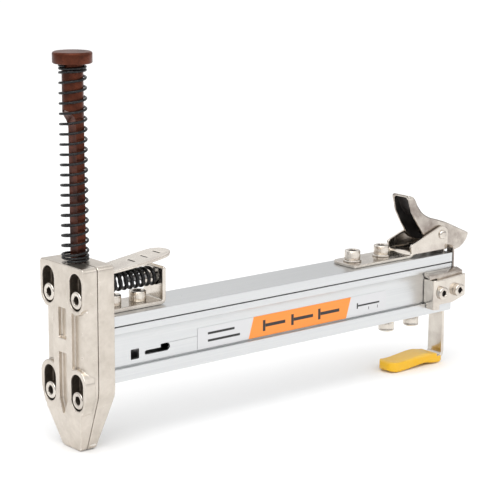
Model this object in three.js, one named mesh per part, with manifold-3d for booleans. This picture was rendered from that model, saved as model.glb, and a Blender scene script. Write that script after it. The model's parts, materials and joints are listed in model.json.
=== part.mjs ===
// Hand-struck nailer for short steel nails: a sprung striker over a two-half cast nose,
// and an aluminium magazine rail with a sliding side cover, rear latch and bench hook.
// Millimetres, +Z up. Origin: centre of the nose tip's bottom face. +X runs along the rail to its rear.

import * as THREE from 'three';
import { mergeVertices } from 'three/addons/utils/BufferGeometryUtils.js';
import Module from 'manifold-3d';

const wasm = await Module();
wasm.setup();

// ---------------------------------------------------------------- driving dimensions

const REST_GAP = 0.1; // between fixed pieces that rest on each other
const RUN_GAP = 0.3; // between pieces that move on each other

// Nose
const NOSE_FRONT = -8.1;
const NOSE_WAIST = -5.9;
const NOSE_SIDE_ROUNDING = 4.4;
const NOSE_SEAM = 0.15; // each half stops this far from the joint plane x = 0
const NOSE_REAR = 9.3;
const NOSE_TOP = 90.9;
const NOSE_HALF_WIDTH = 18;
const NOSE_TIP_HALF_WIDTH = 7.8;
const NOSE_TAPER_TOP = 28.5;
const NOSE_TIP_DEPTH = 4.4; // how far each face has slanted in at the tip

const NOSE_SCREW_Y = 11.4;
const NOSE_SCREW_Z_UPPER = 75.2;
const NOSE_SCREW_Z_LOWER = 26.95;
const POCKET_RADIUS = 5.05;
const POCKET_TRAVEL = 7.6; // straight part of each stadium pocket
const POCKET_FLOOR = -2.8;
const BOSS_RADIUS = 7.3;
const RIB_HALF_WIDTH = 7.7;
const GROOVE = { halfWidth: 3.3, depth: 2.2 };

// Socket-head screws
const M5 = { head: 4.25, height: 5, shank: 2.5, hole: 2.8, socket: 2.31, socketDepth: 2.6 };
const M4_LOW_HEAD = { head: 3.5, height: 2.8, shank: 1.95, hole: 2.15, socket: 1.73, socketDepth: 1.9 };

// Striker
const ROD_RADIUS = 5;
const ROD_BOTTOM = 74;
const ROD_FLAT_X = -0.6;
const ROD_FLAT_Y = 3.35;
const ROD_MILL_TOP = 153;
const ROD_CUTTER_RADIUS = 12;
const CAP_RADIUS = 9.25;
const CAP_BOTTOM = 183.4;
const CAP_TOP = 189;
const STROKE = 56;
const BLADE = { x0: 0.2, x1: 1.8, halfWidth: 2.5, bottom: 57.5, top: 83 };
const RETURN_SPRING = { meanRadius: 6, wire: 0.6, deadTurns: 2, liveTurns: 18 };

// Rail and side cover
const RAIL_HALF_WIDTH = 13;
const RAIL_FRONT = 9.6;
const RAIL_REAR = 240.6;
const RAIL_BOTTOM = 32;
const RAIL_TOP = 64.5;
const RAIL_WALL = 2;
const RAIL_FLOOR = 35;
const RAIL_CEILING = 61.5;
const SEAM_LOWER = 38.3;
const SEAM_UPPER = 59.4;
const SEAM_GAP = 0.55;
const FLANGE_INNER = -11.2;
const COVER_FLAT_Y = -11;
const COVER_INNER_Y = -9.4;
const COVER_TONGUE_Y = -10.9;

// Nail pusher, at its nose end
const PUSHER = { x0: 12, x1: 32, rollZ: 47, rollRadius: 6 };

// Front catch
const CATCH_PIVOT = { x: 13, z: 69.2 };
const CATCH_SHEET = 2;
const CATCH_BRACKET_HALF_WIDTH = 8;
const CATCH_BRACKET_REAR = 46.8;
const CATCH_WALL_TOP = 82.7;
const CATCH_SPRING_Z = 77.8;
const CATCH_SPRING = { meanRadius: 4.05, wire: 0.92, turns: 9 };
const CATCH_SCREW_X = [20.8, 35.5];
const TONGUE_END = 53;
const TONGUE_HALF_WIDTH = 8.6;
const TONGUE_GRIP_X = [32, 39.5, 47];

// Rear latch
const LATCH_PIVOT = { x: 235.5, z: 74.7 };
const LATCH_SHEET = 1.5;
const LATCH_BASE_HALF_WIDTH = 9.7;
const LATCH_BASE_FRONT = 170;
const LATCH_SCREW_X = [177.2, 198.6];
const LATCH_LEVER_HALF_WIDTH = 7.6;
const LATCH_THUMB_HALF_WIDTH = 6.6;
const LATCH_LEVER_WALL = 1.3;
const RIVET_RADIUS = 1.8;
const RIVET_HEAD_RADIUS = 2.4;

// Side cover's rear bracket and end plate
const BRACKET_X0 = 220.5;
const BRACKET_X1 = 244;
const BRACKET_FACE_Y = -20.2;
const BRACKET_SHEET = 2;
const BRACKET_SCREW_X = [224.8, 237.3];
const BRACKET_SCREW_Z = 45.4;
const BRACKET_CORNER = 1.7; // how far the fold cuts each side back
const END_PLATE = { x0: 241, x1: 242.3, top: 68.2, bottom: 42 };

// Hook
const HOOK_HALF_WIDTH = 5.25;
const HOOK_SHEET = 2;
const HOOK_FRONT = 196.5;
const HOOK_DROP_X = 243; // middle of the strap's vertical run
const HOOK_SCREW_X = [203.6, 222.5];
const GRIP_HALF_WIDTH = 6.3;

// ---------------------------------------------------------------- finishes

const finish = (color, roughness, metalness) => new THREE.MeshStandardMaterial({ color, roughness, metalness });
const FINISH = {
  nickelCasting: () => finish(0xb9b0a4, 0.42, 0.9),
  anodisedRail: () => finish(0xc9c9c8, 0.4, 0.85),
  brightNickel: () => finish(0xd0c8bc, 0.25, 1),
  brownOxide: () => finish(0x5a3426, 0.45, 0.6),
  blackSpring: () => finish(0x1c1b1c, 0.35, 0.8),
  hardSteel: () => finish(0x8d8f92, 0.35, 1),
  labelFilm: () => finish(0xeceae6, 0.5, 0),
  yellowDip: () => finish(0xe2ad1a, 0.4, 0),
};

// ---------------------------------------------------------------- solids

// A closed three.js geometry as a solid that can be joined and cut.
function solid(geometry) {
  const bare = new THREE.BufferGeometry();
  bare.setAttribute('position', geometry.getAttribute('position').clone());
  if (geometry.index) bare.setIndex(geometry.index.clone());
  const merged = mergeVertices(bare, 1e-5);
  return new wasm.Manifold(
    new wasm.Mesh({
      numProp: 3,
      vertProperties: new Float32Array(merged.getAttribute('position').array),
      triVerts: new Uint32Array(merged.index.array),
    }),
  );
}

function toGeometry(body) {
  const mesh = body.getMesh();
  const geometry = new THREE.BufferGeometry();
  geometry.setAttribute('position', new THREE.BufferAttribute(new Float32Array(mesh.vertProperties), 3));
  geometry.setIndex(new THREE.BufferAttribute(new Uint32Array(mesh.triVerts), 1));
  const flat = geometry.toNonIndexed();
  flat.computeVertexNormals();
  return flat;
}

const join = (first, ...rest) => rest.reduce((body, next) => body.add(next), first);
const cut = (first, ...rest) => rest.reduce((body, next) => body.subtract(next), first);
const overlap = (first, ...rest) => rest.reduce((body, next) => body.intersect(next), first);

function block(x0, x1, y0, y1, z0, z1) {
  const geometry = new THREE.BoxGeometry(x1 - x0, y1 - y0, z1 - z0);
  return solid(geometry.translate((x0 + x1) / 2, (y0 + y1) / 2, (z0 + z1) / 2));
}

// Extruded outlines. alongX takes (y, z) outlines, alongY takes (x, z) and alongZ takes (x, y).
const TURN_TO_X = new THREE.Matrix4().set(0, 0, 1, 0, 1, 0, 0, 0, 0, 1, 0, 0, 0, 0, 0, 1);
const TURN_TO_Y = new THREE.Matrix4().set(1, 0, 0, 0, 0, 0, -1, 0, 0, 1, 0, 0, 0, 0, 0, 1);

function extrude(shape, depth) {
  return new THREE.ExtrudeGeometry(shape, { depth, bevelEnabled: false, curveSegments: 6 });
}

const alongX = (shape, x0, x1) => solid(extrude(shape, x1 - x0).applyMatrix4(TURN_TO_X).translate(x0, 0, 0));
const alongY = (shape, y0, y1) => solid(extrude(shape, y1 - y0).applyMatrix4(TURN_TO_Y).translate(0, y1, 0));
const alongZ = (shape, z0, z1) => solid(extrude(shape, z1 - z0).translate(0, 0, z0));

const outline = (points) => new THREE.Shape(points.map(([u, v]) => new THREE.Vector2(u, v)));

function disc(u, v, radius) {
  const shape = new THREE.Shape();
  shape.absarc(u, v, radius, 0, Math.PI * 2, false);
  return shape;
}

// Round-ended upright slot outline between two arc centres.
function stadium(u, v0, v1, radius) {
  const shape = new THREE.Shape();
  shape.absarc(u, v1, radius, 0, Math.PI, false);
  shape.absarc(u, v0, radius, Math.PI, Math.PI * 2, false);
  shape.closePath();
  return shape;
}

function roundedRect(u0, u1, v0, v1, r) {
  const shape = new THREE.Shape();
  shape.absarc(u1 - r, v0 + r, r, -Math.PI / 2, 0, false);
  shape.absarc(u1 - r, v1 - r, r, 0, Math.PI / 2, false);
  shape.absarc(u0 + r, v1 - r, r, Math.PI / 2, Math.PI, false);
  shape.absarc(u0 + r, v0 + r, r, Math.PI, Math.PI * 1.5, false);
  shape.closePath();
  return shape;
}

// Points along a polyline whose inner corners are rounded by the given cut-back distance.
function roundedPath(corners, cutBack) {
  const points = corners.map(([u, v]) => new THREE.Vector2(u, v));
  const path = new THREE.Path();
  path.moveTo(points[0].x, points[0].y);
  for (let i = 1; i < points.length - 1; i += 1) {
    const before = points[i - 1].clone().sub(points[i]);
    const after = points[i + 1].clone().sub(points[i]);
    const reach = Math.min(cutBack, before.length() / 2, after.length() / 2);
    const from = before.setLength(reach).add(points[i]);
    const to = after.setLength(reach).add(points[i]);
    path.lineTo(from.x, from.y);
    path.quadraticCurveTo(points[i].x, points[i].y, to.x, to.y);
  }
  const last = points[points.length - 1];
  path.lineTo(last.x, last.y);
  return path.getPoints(4);
}

// Outline of a bent sheet or a bar that follows a centre line, with a thickness per point.
function stripShape(centre, thicknessAt) {
  const sideA = [];
  const sideB = [];
  centre.forEach((point, i) => {
    const ahead = centre[Math.min(i + 1, centre.length - 1)];
    const behind = centre[Math.max(i - 1, 0)];
    const along = ahead.clone().sub(behind).normalize();
    const half = thicknessAt(i / (centre.length - 1)) / 2;
    sideA.push([point.x - along.y * half, point.y + along.x * half]);
    sideB.push([point.x + along.y * half, point.y - along.x * half]);
  });
  return outline([...sideA, ...sideB.reverse()]);
}

const bentSheet = (corners, thickness, cutBack) => stripShape(roundedPath(corners, cutBack), () => thickness);

// Cylinder along an axis, from a start coordinate to an end coordinate on that axis.
function rod(axis, [a, b], radius, from, to, sides = 20) {
  const geometry = new THREE.CylinderGeometry(radius, radius, to - from, sides);
  const middle = (from + to) / 2;
  if (axis === 'x') return solid(geometry.rotateZ(-Math.PI / 2).translate(middle, a, b));
  if (axis === 'y') return solid(geometry.translate(a, middle, b));
  return solid(geometry.rotateX(Math.PI / 2).translate(a, b, middle));
}

// Turned piece about +Z from (radius, height) points that start and end on the axis.
function turned(points, sides = 32) {
  const profile = points.map(([r, z]) => new THREE.Vector2(r, z));
  return solid(new THREE.LatheGeometry(profile, sides).rotateX(Math.PI / 2));
}

// Wire coil about +Z. heights(turn) gives the height of the wire's middle after that many turns.
class Coil extends THREE.Curve {
  constructor(radius, turns, heightAt) {
    super();
    this.radius = radius;
    this.turns = turns;
    this.heightAt = heightAt;
  }

  getPoint(t, target = new THREE.Vector3()) {
    const turn = t * this.turns;
    const angle = turn * Math.PI * 2;
    return target.set(this.radius * Math.cos(angle), this.radius * Math.sin(angle), this.heightAt(turn));
  }
}

function wire(curve, radius, steps, sides = 6) {
  const corners = [];
  for (let i = 0; i < sides; i += 1) {
    const angle = (i / sides) * Math.PI * 2;
    corners.push([radius * Math.cos(angle), radius * Math.sin(angle)]);
  }
  return new THREE.ExtrudeGeometry(outline(corners), { steps, bevelEnabled: false, extrudePath: curve });
}

// Socket-head cap screw standing on z = 0 with its shank down and its head up, as a z-axis solid.
function capScrew(size, length) {
  const edge = 0.35;
  const body = turned([
    [0, -length],
    [size.shank, -length],
    [size.shank, 0],
    [size.head, 0],
    [size.head, size.height - edge],
    [size.head - edge, size.height],
    [0, size.height],
  ], 20);
  const socket = solid(
    new THREE.CylinderGeometry(size.socket, size.socket, size.socketDepth * 2, 6)
      .rotateX(Math.PI / 2)
      .translate(0, 0, size.height),
  );
  return cut(body, socket);
}

// ---------------------------------------------------------------- the group of pieces

const nailer = new THREE.Group();
nailer.name = 'flooring_nailer';

function addPiece(name, geometry, material, parent = nailer) {
  const mesh = new THREE.Mesh(geometry, material);
  mesh.name = name;
  parent.add(mesh);
  return mesh;
}

const addSolid = (name, body, material) => addPiece(name, toGeometry(body), material);

// Screw seated at a point with its head pointing along the given direction.
function addScrew(name, size, length, seat, headDirection) {
  const mesh = addSolid(name, capScrew(size, length), FINISH.brightNickel());
  mesh.quaternion.setFromUnitVectors(new THREE.Vector3(0, 0, 1), headDirection);
  mesh.position.copy(seat);
  return mesh;
}

const UP = new THREE.Vector3(0, 0, 1);
const DOWN = new THREE.Vector3(0, 0, -1);
const FORWARD = new THREE.Vector3(-1, 0, 0);
const NEAR_SIDE = new THREE.Vector3(0, -1, 0);

// ---------------------------------------------------------------- nose

// Front outline of both halves: square above, tapering to the tip, with rounded corners.
function noseOutline(halfWidth = NOSE_HALF_WIDTH) {
  const cornerRadius = 2.2;
  const tipRadius = 1.6;
  const shape = new THREE.Shape();
  shape.moveTo(-NOSE_TIP_HALF_WIDTH + tipRadius, 0);
  shape.lineTo(NOSE_TIP_HALF_WIDTH - tipRadius, 0);
  shape.quadraticCurveTo(NOSE_TIP_HALF_WIDTH, 0.2, NOSE_TIP_HALF_WIDTH + 0.5, tipRadius + 0.4);
  shape.lineTo(halfWidth - 1.3, NOSE_TAPER_TOP - 3);
  shape.quadraticCurveTo(halfWidth, NOSE_TAPER_TOP, halfWidth, NOSE_TAPER_TOP + 4);
  shape.lineTo(halfWidth, NOSE_TOP - cornerRadius);
  shape.quadraticCurveTo(halfWidth, NOSE_TOP, halfWidth - cornerRadius, NOSE_TOP);
  shape.lineTo(-halfWidth + cornerRadius, NOSE_TOP);
  shape.quadraticCurveTo(-halfWidth, NOSE_TOP, -halfWidth, NOSE_TOP - cornerRadius);
  shape.lineTo(-halfWidth, NOSE_TAPER_TOP + 4);
  shape.quadraticCurveTo(-halfWidth, NOSE_TAPER_TOP, -halfWidth + 1.3, NOSE_TAPER_TOP - 3);
  shape.lineTo(-NOSE_TIP_HALF_WIDTH - 0.5, tipRadius + 0.4);
  shape.quadraticCurveTo(-NOSE_TIP_HALF_WIDTH, 0.2, -NOSE_TIP_HALF_WIDTH + tipRadius, 0);
  return shape;
}

// Channel for the milled striker and, below it, the blade and the nail.
function strikerChannel() {
  const width = ROD_FLAT_Y + RUN_GAP;
  const strikerEnd = ROD_BOTTOM - STROKE - 0.5;
  return join(
    block(ROD_FLAT_X - RUN_GAP, ROD_RADIUS - 1.2, -width, width, strikerEnd, NOSE_TOP + 1),
    overlap(
      rod('z', [0, 0], ROD_RADIUS + RUN_GAP, strikerEnd, NOSE_TOP + 1, 32),
      block(ROD_FLAT_X - RUN_GAP, ROD_RADIUS + 1, -width, width, strikerEnd, NOSE_TOP + 1),
    ),
    block(BLADE.x0 - RUN_GAP * 2, BLADE.x1 + RUN_GAP, -3.3, 3.3, -1, strikerEnd + 1),
  );
}

const noseScrewPlaces = [
  [-NOSE_SCREW_Y, NOSE_SCREW_Z_UPPER],
  [NOSE_SCREW_Y, NOSE_SCREW_Z_UPPER],
  [-NOSE_SCREW_Y, NOSE_SCREW_Z_LOWER],
  [NOSE_SCREW_Y, NOSE_SCREW_Z_LOWER],
];
const dowelPlaces = [-1, 1].map((side) => [side * 14, 52]);
const DOWEL_RADIUS = 1.5;

// Plan of the front cover's waist, with large rounded side edges.
function waistPlan() {
  const shape = new THREE.Shape();
  shape.moveTo(0, -NOSE_HALF_WIDTH);
  shape.lineTo(0, NOSE_HALF_WIDTH);
  shape.lineTo(-0.6, NOSE_HALF_WIDTH);
  shape.quadraticCurveTo(NOSE_WAIST, NOSE_HALF_WIDTH, NOSE_WAIST, NOSE_HALF_WIDTH - NOSE_SIDE_ROUNDING);
  shape.lineTo(NOSE_WAIST, -NOSE_HALF_WIDTH + NOSE_SIDE_ROUNDING);
  shape.quadraticCurveTo(NOSE_WAIST, -NOSE_HALF_WIDTH, -0.6, -NOSE_HALF_WIDTH);
  return shape;
}

function noseFrontCover() {
  const bounds = noseOutline();
  const slab = overlap(alongX(bounds, NOSE_WAIST, -NOSE_SEAM), alongZ(waistPlan(), -1, NOSE_TOP + 1));
  const raised = [];
  // Upper block and its two round lobes.
  const upper = overlap(
    alongX(bounds, NOSE_FRONT, -NOSE_SEAM),
    block(NOSE_FRONT, 0, -20, 20, NOSE_SCREW_Z_UPPER - 1, NOSE_TOP + 1),
  );
  raised.push(upper);
  for (const side of [-1, 1]) {
    const lobe = alongX(disc(side * (NOSE_HALF_WIDTH - BOSS_RADIUS + 0.1), NOSE_SCREW_Z_UPPER, BOSS_RADIUS),
      NOSE_FRONT, -NOSE_SEAM);
    raised.push(overlap(lobe, alongX(bounds, NOSE_FRONT, -NOSE_SEAM)));
    const lowerBoss = stadium(side * NOSE_SCREW_Y, NOSE_SCREW_Z_LOWER, NOSE_SCREW_Z_LOWER + POCKET_TRAVEL, 7.5);
    const reach = alongX(noseOutline(NOSE_HALF_WIDTH + 0.8), NOSE_FRONT, -2.4);
    raised.push(overlap(alongX(lowerBoss, NOSE_FRONT, -2.4), reach));
  }
  // Central rib, ending in a blunt V above the tip, and the thick tip itself.
  const rib = outline([
    [-RIB_HALF_WIDTH, NOSE_SCREW_Z_UPPER],
    [-RIB_HALF_WIDTH, 24],
    [-RIB_HALF_WIDTH - 2, 17],
    [RIB_HALF_WIDTH + 2, 17],
    [RIB_HALF_WIDTH, 24],
    [RIB_HALF_WIDTH, NOSE_SCREW_Z_UPPER],
  ]);
  raised.push(alongX(rib, NOSE_FRONT, -NOSE_SEAM));
  raised.push(overlap(alongX(bounds, NOSE_FRONT, -NOSE_SEAM), block(NOSE_FRONT, 0, -20, 20, -1, 24)));
  const whole = join(slab, ...raised);

  const cuts = [strikerChannel()];
  // Tip's front face slants back.
  const slant = outline([
    [NOSE_FRONT - 5, -2],
    [NOSE_FRONT + NOSE_TIP_DEPTH, -2],
    [NOSE_FRONT + NOSE_TIP_DEPTH, 0],
    [NOSE_FRONT + 0.8, 15.5],
    [NOSE_FRONT, 18.6],
    [NOSE_FRONT - 5, 18.6],
  ]);
  cuts.push(alongY(slant, -25, 25));
  // Two shallow grooves down the rib, the lower one narrowing to a V.
  const w = GROOVE.halfWidth;
  const grooveFloor = NOSE_FRONT + GROOVE.depth;
  cuts.push(alongX(roundedRect(-w, w, 54.9, 69.7, 0.8), NOSE_FRONT - 1, grooveFloor));
  const lowerGroove = outline([[-w, 48], [-w, 25], [-0.4, 17.8], [0.4, 17.8], [w, 25], [w, 48]]);
  cuts.push(alongX(lowerGroove, NOSE_FRONT - 1, grooveFloor));
  for (const [y, z] of noseScrewPlaces) {
    cuts.push(alongX(stadium(y, z, z + POCKET_TRAVEL, POCKET_RADIUS), NOSE_FRONT - 1, POCKET_FLOOR));
    cuts.push(rod('x', [y, z], M5.hole, POCKET_FLOOR - 1, 1));
  }
  for (const [y, z] of dowelPlaces) cuts.push(rod('x', [y, z], DOWEL_RADIUS + REST_GAP, -2.9, 1, 16));
  return cut(whole, ...cuts);
}

function noseRearBody() {
  const body = alongX(noseOutline(), NOSE_SEAM, NOSE_REAR);
  // Spigot that enters the rail under its top wall.
  const spigot = block(NOSE_REAR - 1, 26, -8.5, 8.5, 58.3, RAIL_CEILING - RUN_GAP);
  const slant = outline([
    [NOSE_REAR + 5, -2],
    [NOSE_REAR - NOSE_TIP_DEPTH, -2],
    [NOSE_REAR - NOSE_TIP_DEPTH, 0],
    [NOSE_REAR - 0.5, 23],
    [NOSE_REAR, 27],
    [NOSE_REAR + 5, 27],
  ]);
  const cuts = [strikerChannel(), alongY(slant, -25, 25)];
  // T-shaped passage that feeds nails from the rail into the channel.
  cuts.push(block(1, NOSE_REAR + 1, -1.7, 1.7, 37, 56));
  cuts.push(block(1, NOSE_REAR + 1, -3.4, 3.4, 54.4, 57.4));
  cuts.push(rod('x', [0, CATCH_SPRING_Z], 1.9, 3, NOSE_REAR + 1, 20));
  cuts.push(rod('z', [CATCH_SCREW_X[0], 0], M5.hole, 57, 63));
  for (const [y, z] of noseScrewPlaces) cuts.push(rod('x', [y, z], M5.hole, -1, 7.6));
  for (const [y, z] of dowelPlaces) cuts.push(rod('x', [y, z], DOWEL_RADIUS + REST_GAP, -1, 5.3, 16));
  return cut(join(body, spigot), ...cuts);
}

function addNose() {
  addSolid('nose_front_cover', noseFrontCover(), FINISH.nickelCasting());
  addSolid('nose_rear_body', noseRearBody(), FINISH.nickelCasting());
  noseScrewPlaces.forEach(([y, z], i) => {
    const seat = new THREE.Vector3(POCKET_FLOOR - REST_GAP, y, z);
    addScrew(`nose_screw_${i + 1}`, M5, 10, seat, FORWARD);
  });
  dowelPlaces.forEach(([y, z], i) => {
    addSolid(`nose_dowel_${i + 1}`, rod('x', [y, z], DOWEL_RADIUS, -2.6, 5, 16), FINISH.hardSteel());
  });
}

// ---------------------------------------------------------------- striker

function strikerRod() {
  let body = rod('z', [0, 0], ROD_RADIUS, ROD_BOTTOM, CAP_BOTTOM - REST_GAP, 36);
  const reach = 8;
  const below = [ROD_BOTTOM - 1, ROD_MILL_TOP];
  const flats = [
    block(-reach, ROD_FLAT_X, -reach, reach, ...below),
    block(-reach, reach, ROD_FLAT_Y, reach, ...below),
    block(-reach, reach, -reach, -ROD_FLAT_Y, ...below),
    rod('y', [ROD_FLAT_X - ROD_CUTTER_RADIUS, ROD_MILL_TOP], ROD_CUTTER_RADIUS, -reach, reach, 64),
    rod('x', [ROD_FLAT_Y + ROD_CUTTER_RADIUS, ROD_MILL_TOP], ROD_CUTTER_RADIUS, -reach, reach, 64),
    rod('x', [-ROD_FLAT_Y - ROD_CUTTER_RADIUS, ROD_MILL_TOP], ROD_CUTTER_RADIUS, -reach, reach, 64),
  ];
  body = cut(body, ...flats);
  // Lap for the blade, keyway for the catch plunger, and the pin hole.
  const lap = block(-reach, BLADE.x1 + REST_GAP, -reach, reach, ROD_BOTTOM - 1, BLADE.top + REST_GAP);
  const keyway = block(3.9, reach, -1.8, 1.8, ROD_BOTTOM - 1, CATCH_SPRING_Z + STROKE + 3);
  const pinHole = rod('x', [0, BLADE.top - 2.6], 1.2, -reach, reach, 16);
  return cut(body, lap, keyway, pinHole);
}

function addStriker() {
  addSolid('striker_rod', strikerRod(), FINISH.brownOxide());
  const cap = turned([
    [0, CAP_BOTTOM],
    [CAP_RADIUS - 0.5, CAP_BOTTOM],
    [CAP_RADIUS, CAP_BOTTOM + 0.5],
    [CAP_RADIUS, CAP_TOP - 1.4],
    [CAP_RADIUS - 0.5, CAP_TOP - 0.6],
    [CAP_RADIUS - 1.6, CAP_TOP - 0.2],
    [0, CAP_TOP],
  ], 40);
  addSolid('striker_cap', cap, FINISH.brownOxide());
  const blade = cut(
    block(BLADE.x0, BLADE.x1, -BLADE.halfWidth, BLADE.halfWidth, BLADE.bottom, BLADE.top),
    rod('x', [0, BLADE.top - 2.6], 1.2, 0, 3, 16),
  );
  addSolid('driver_blade', blade, FINISH.hardSteel());
  addSolid('blade_pin', rod('x', [0, BLADE.top - 2.6], 1, 0, 3.8, 16), FINISH.hardSteel());

  const { meanRadius, wire: wireRadius, deadTurns, liveTurns } = RETURN_SPRING;
  const turns = deadTurns * 2 + liveTurns;
  const low = NOSE_TOP + wireRadius + REST_GAP;
  const high = CAP_BOTTOM - wireRadius - REST_GAP;
  const deadPitch = wireRadius * 2 + 0.2;
  const livePitch = (high - low - deadTurns * 2 * deadPitch) / liveTurns;
  const heightAt = (turn) => {
    const live = Math.min(Math.max(turn - deadTurns, 0), liveTurns);
    return low + (turn - live) * deadPitch + live * livePitch;
  };
  const coil = new Coil(meanRadius, turns, heightAt);
  addPiece('return_spring', wire(coil, wireRadius, turns * 10, 5), FINISH.blackSpring());
}

// ---------------------------------------------------------------- rail and side cover

function railProfile() {
  const w = RAIL_HALF_WIDTH;
  return outline([
    [-w, RAIL_BOTTOM], [w, RAIL_BOTTOM], [w, RAIL_TOP], [-w, RAIL_TOP],
    [-w, SEAM_UPPER], [FLANGE_INNER, SEAM_UPPER], [FLANGE_INNER, RAIL_CEILING],
    [w - RAIL_WALL, RAIL_CEILING], [w - RAIL_WALL, RAIL_FLOOR], [FLANGE_INNER, RAIL_FLOOR],
    [FLANGE_INNER, SEAM_LOWER], [-w, SEAM_LOWER],
  ]);
}

function coverProfile() {
  const lower = SEAM_LOWER + SEAM_GAP;
  const upper = SEAM_UPPER - SEAM_GAP;
  const shape = new THREE.Shape();
  shape.moveTo(COVER_FLAT_Y, lower);
  shape.lineTo(COVER_TONGUE_Y, lower);
  shape.lineTo(COVER_TONGUE_Y, RAIL_FLOOR + RUN_GAP);
  shape.lineTo(COVER_INNER_Y, RAIL_FLOOR + RUN_GAP);
  shape.lineTo(COVER_INNER_Y, RAIL_CEILING - RUN_GAP);
  shape.lineTo(COVER_TONGUE_Y, RAIL_CEILING - RUN_GAP);
  shape.lineTo(COVER_TONGUE_Y, upper);
  shape.lineTo(-RAIL_HALF_WIDTH, upper);
  shape.lineTo(-RAIL_HALF_WIDTH, 55.6);
  // Hollow cove that drops from the proud band to the flat.
  shape.quadraticCurveTo(COVER_FLAT_Y - 1.5, 55.2, COVER_FLAT_Y - 0.6, 53.2);
  shape.quadraticCurveTo(COVER_FLAT_Y, 51.6, COVER_FLAT_Y, 50.2);
  return shape;
}

function addRail() {
  const railCuts = [...CATCH_SCREW_X, ...LATCH_SCREW_X].map((x) => rod('z', [x, 0], M5.hole, 60, 66));
  railCuts.push(...HOOK_SCREW_X.map((x) => rod('z', [x, 0], M5.hole, 31, 36)));
  addSolid('rail', cut(alongX(railProfile(), RAIL_FRONT, RAIL_REAR), ...railCuts), FINISH.anodisedRail());

  const guide = outline([
    [-5, RAIL_FLOOR + REST_GAP], [5, RAIL_FLOOR + REST_GAP], [5, 54.2], [1.7, 54.2],
    [1.7, 37.2], [-1.7, 37.2], [-1.7, 54.2], [-5, 54.2],
  ]);
  const guideCuts = HOOK_SCREW_X.map((x) => rod('z', [x, 0], M5.hole + 1, 34, 40));
  const guideBody = cut(alongX(guide, RAIL_FRONT + REST_GAP, 231.6), ...guideCuts);
  addSolid('nail_guide', guideBody, FINISH.hardSteel());

  const plug = block(232, RAIL_REAR - RUN_GAP, COVER_INNER_Y + RUN_GAP, 10.8, RAIL_FLOOR + REST_GAP, 61.3);
  addSolid('rail_end_plug', plug, FINISH.blackSpring());
}

// Square sight hole and keyhole slot near the nose end of the cover.
function coverWindows() {
  const square = roundedRect(23.5, 28.3, 41.2, 46.1, 0.4);
  const slot = new THREE.Shape();
  slot.absarc(32.8, 43.3, 1, Math.PI / 2, Math.PI * 1.5, false);
  slot.lineTo(45, 42.3);
  slot.absarc(45, 44.1, 1.8, -Math.PI / 2, Math.PI / 2, false);
  slot.lineTo(41.3, 45.9);
  slot.lineTo(41.3, 44.3);
  slot.closePath();
  return [square, slot].map((shape) => alongY(shape, -14, COVER_INNER_Y + 1));
}

function addSideCover() {
  const front = RAIL_FRONT + RUN_GAP;
  const screwHoles = BRACKET_SCREW_X.map((x) => rod('y', [x, BRACKET_SCREW_Z], M4_LOW_HEAD.hole, -14, -9));
  const body = cut(alongX(coverProfile(), front, RAIL_REAR - RUN_GAP), ...coverWindows(), ...screwHoles);
  addSolid('side_cover', body, FINISH.anodisedRail());
  addSolid('cover_label', block(63.7, 192, -11.25, COVER_FLAT_Y - 0.05, 39.1, 50), FINISH.labelFilm());
}

// Sheet piece: shelf on top of the bracket, flange behind the bracket's face, upright plate behind the rail.
function coverEndPlate() {
  const { x0, x1, top, bottom } = END_PLATE;
  const shelf = outline([[-18.1, 55.1], [-18.1, 52.7], [-13.3, 54.2], [-13.3, 56.4], [-15.6, 55.9]]);
  const flangeY = [-18.1, -16.7];
  const plateNear = -13;
  const parts = [
    alongX(shelf, 218.4, 243.7),
    block(223.9, x1, ...flangeY, bottom, 54),
    block(x0, x1, flangeY[0], plateNear + 1, bottom, 55),
    block(x0, x1, plateNear, 11, bottom, top),
  ];
  const cuts = BRACKET_SCREW_X.map((x) => rod('y', [x, BRACKET_SCREW_Z], M4_LOW_HEAD.hole, -19, -16));
  // Two slots let the latch lever's cheeks through; the tab between them is the latch's keeper.
  for (const side of [-1, 1]) {
    cuts.push(block(x0 - 1, x1 + 1, side > 0 ? 5.4 : -8.1, side > 0 ? 8.1 : -5.4, 63.2, top + 2));
  }
  const keeper = block(x0, x1, -5.4, 5.4, top - 1, top + 1.2);
  return cut(join(...parts, keeper), ...cuts);
}

// Bracket bent round a vertical corner, with its side wall reaching down past the rail's lower flange.
function coverBracket() {
  const t = BRACKET_SHEET;
  const wallEnd = COVER_FLAT_Y - RUN_GAP;
  const plan = bentSheet(
    [[BRACKET_X0 + t / 2, wallEnd], [BRACKET_X0 + t / 2, BRACKET_FACE_Y + t / 2],
      [BRACKET_X1, BRACKET_FACE_Y + t / 2]],
    t, BRACKET_CORNER,
  );
  const face = outline([
    [BRACKET_X0 - 1, 35.8], [224.2, 35.8], [224.2, 38.6], [234.5, 38.6], [BRACKET_X1 + 1, 41.6],
    [BRACKET_X1 + 1, 53.6], [238, 53.2], [226, 52.4], [BRACKET_X0 - 1, 52.2],
  ]);
  const folded = overlap(alongZ(plan, 30, 60), alongY(face, -25, -10));
  const flangeRelief = block(BRACKET_X0 - 2, BRACKET_X1, -RAIL_HALF_WIDTH - RUN_GAP, -5, 30, SEAM_LOWER + RUN_GAP);
  const holes = BRACKET_SCREW_X.map((x) => rod('y', [x, BRACKET_SCREW_Z], M4_LOW_HEAD.hole, -25, -17));
  return cut(folded, flangeRelief, ...holes);
}

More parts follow.
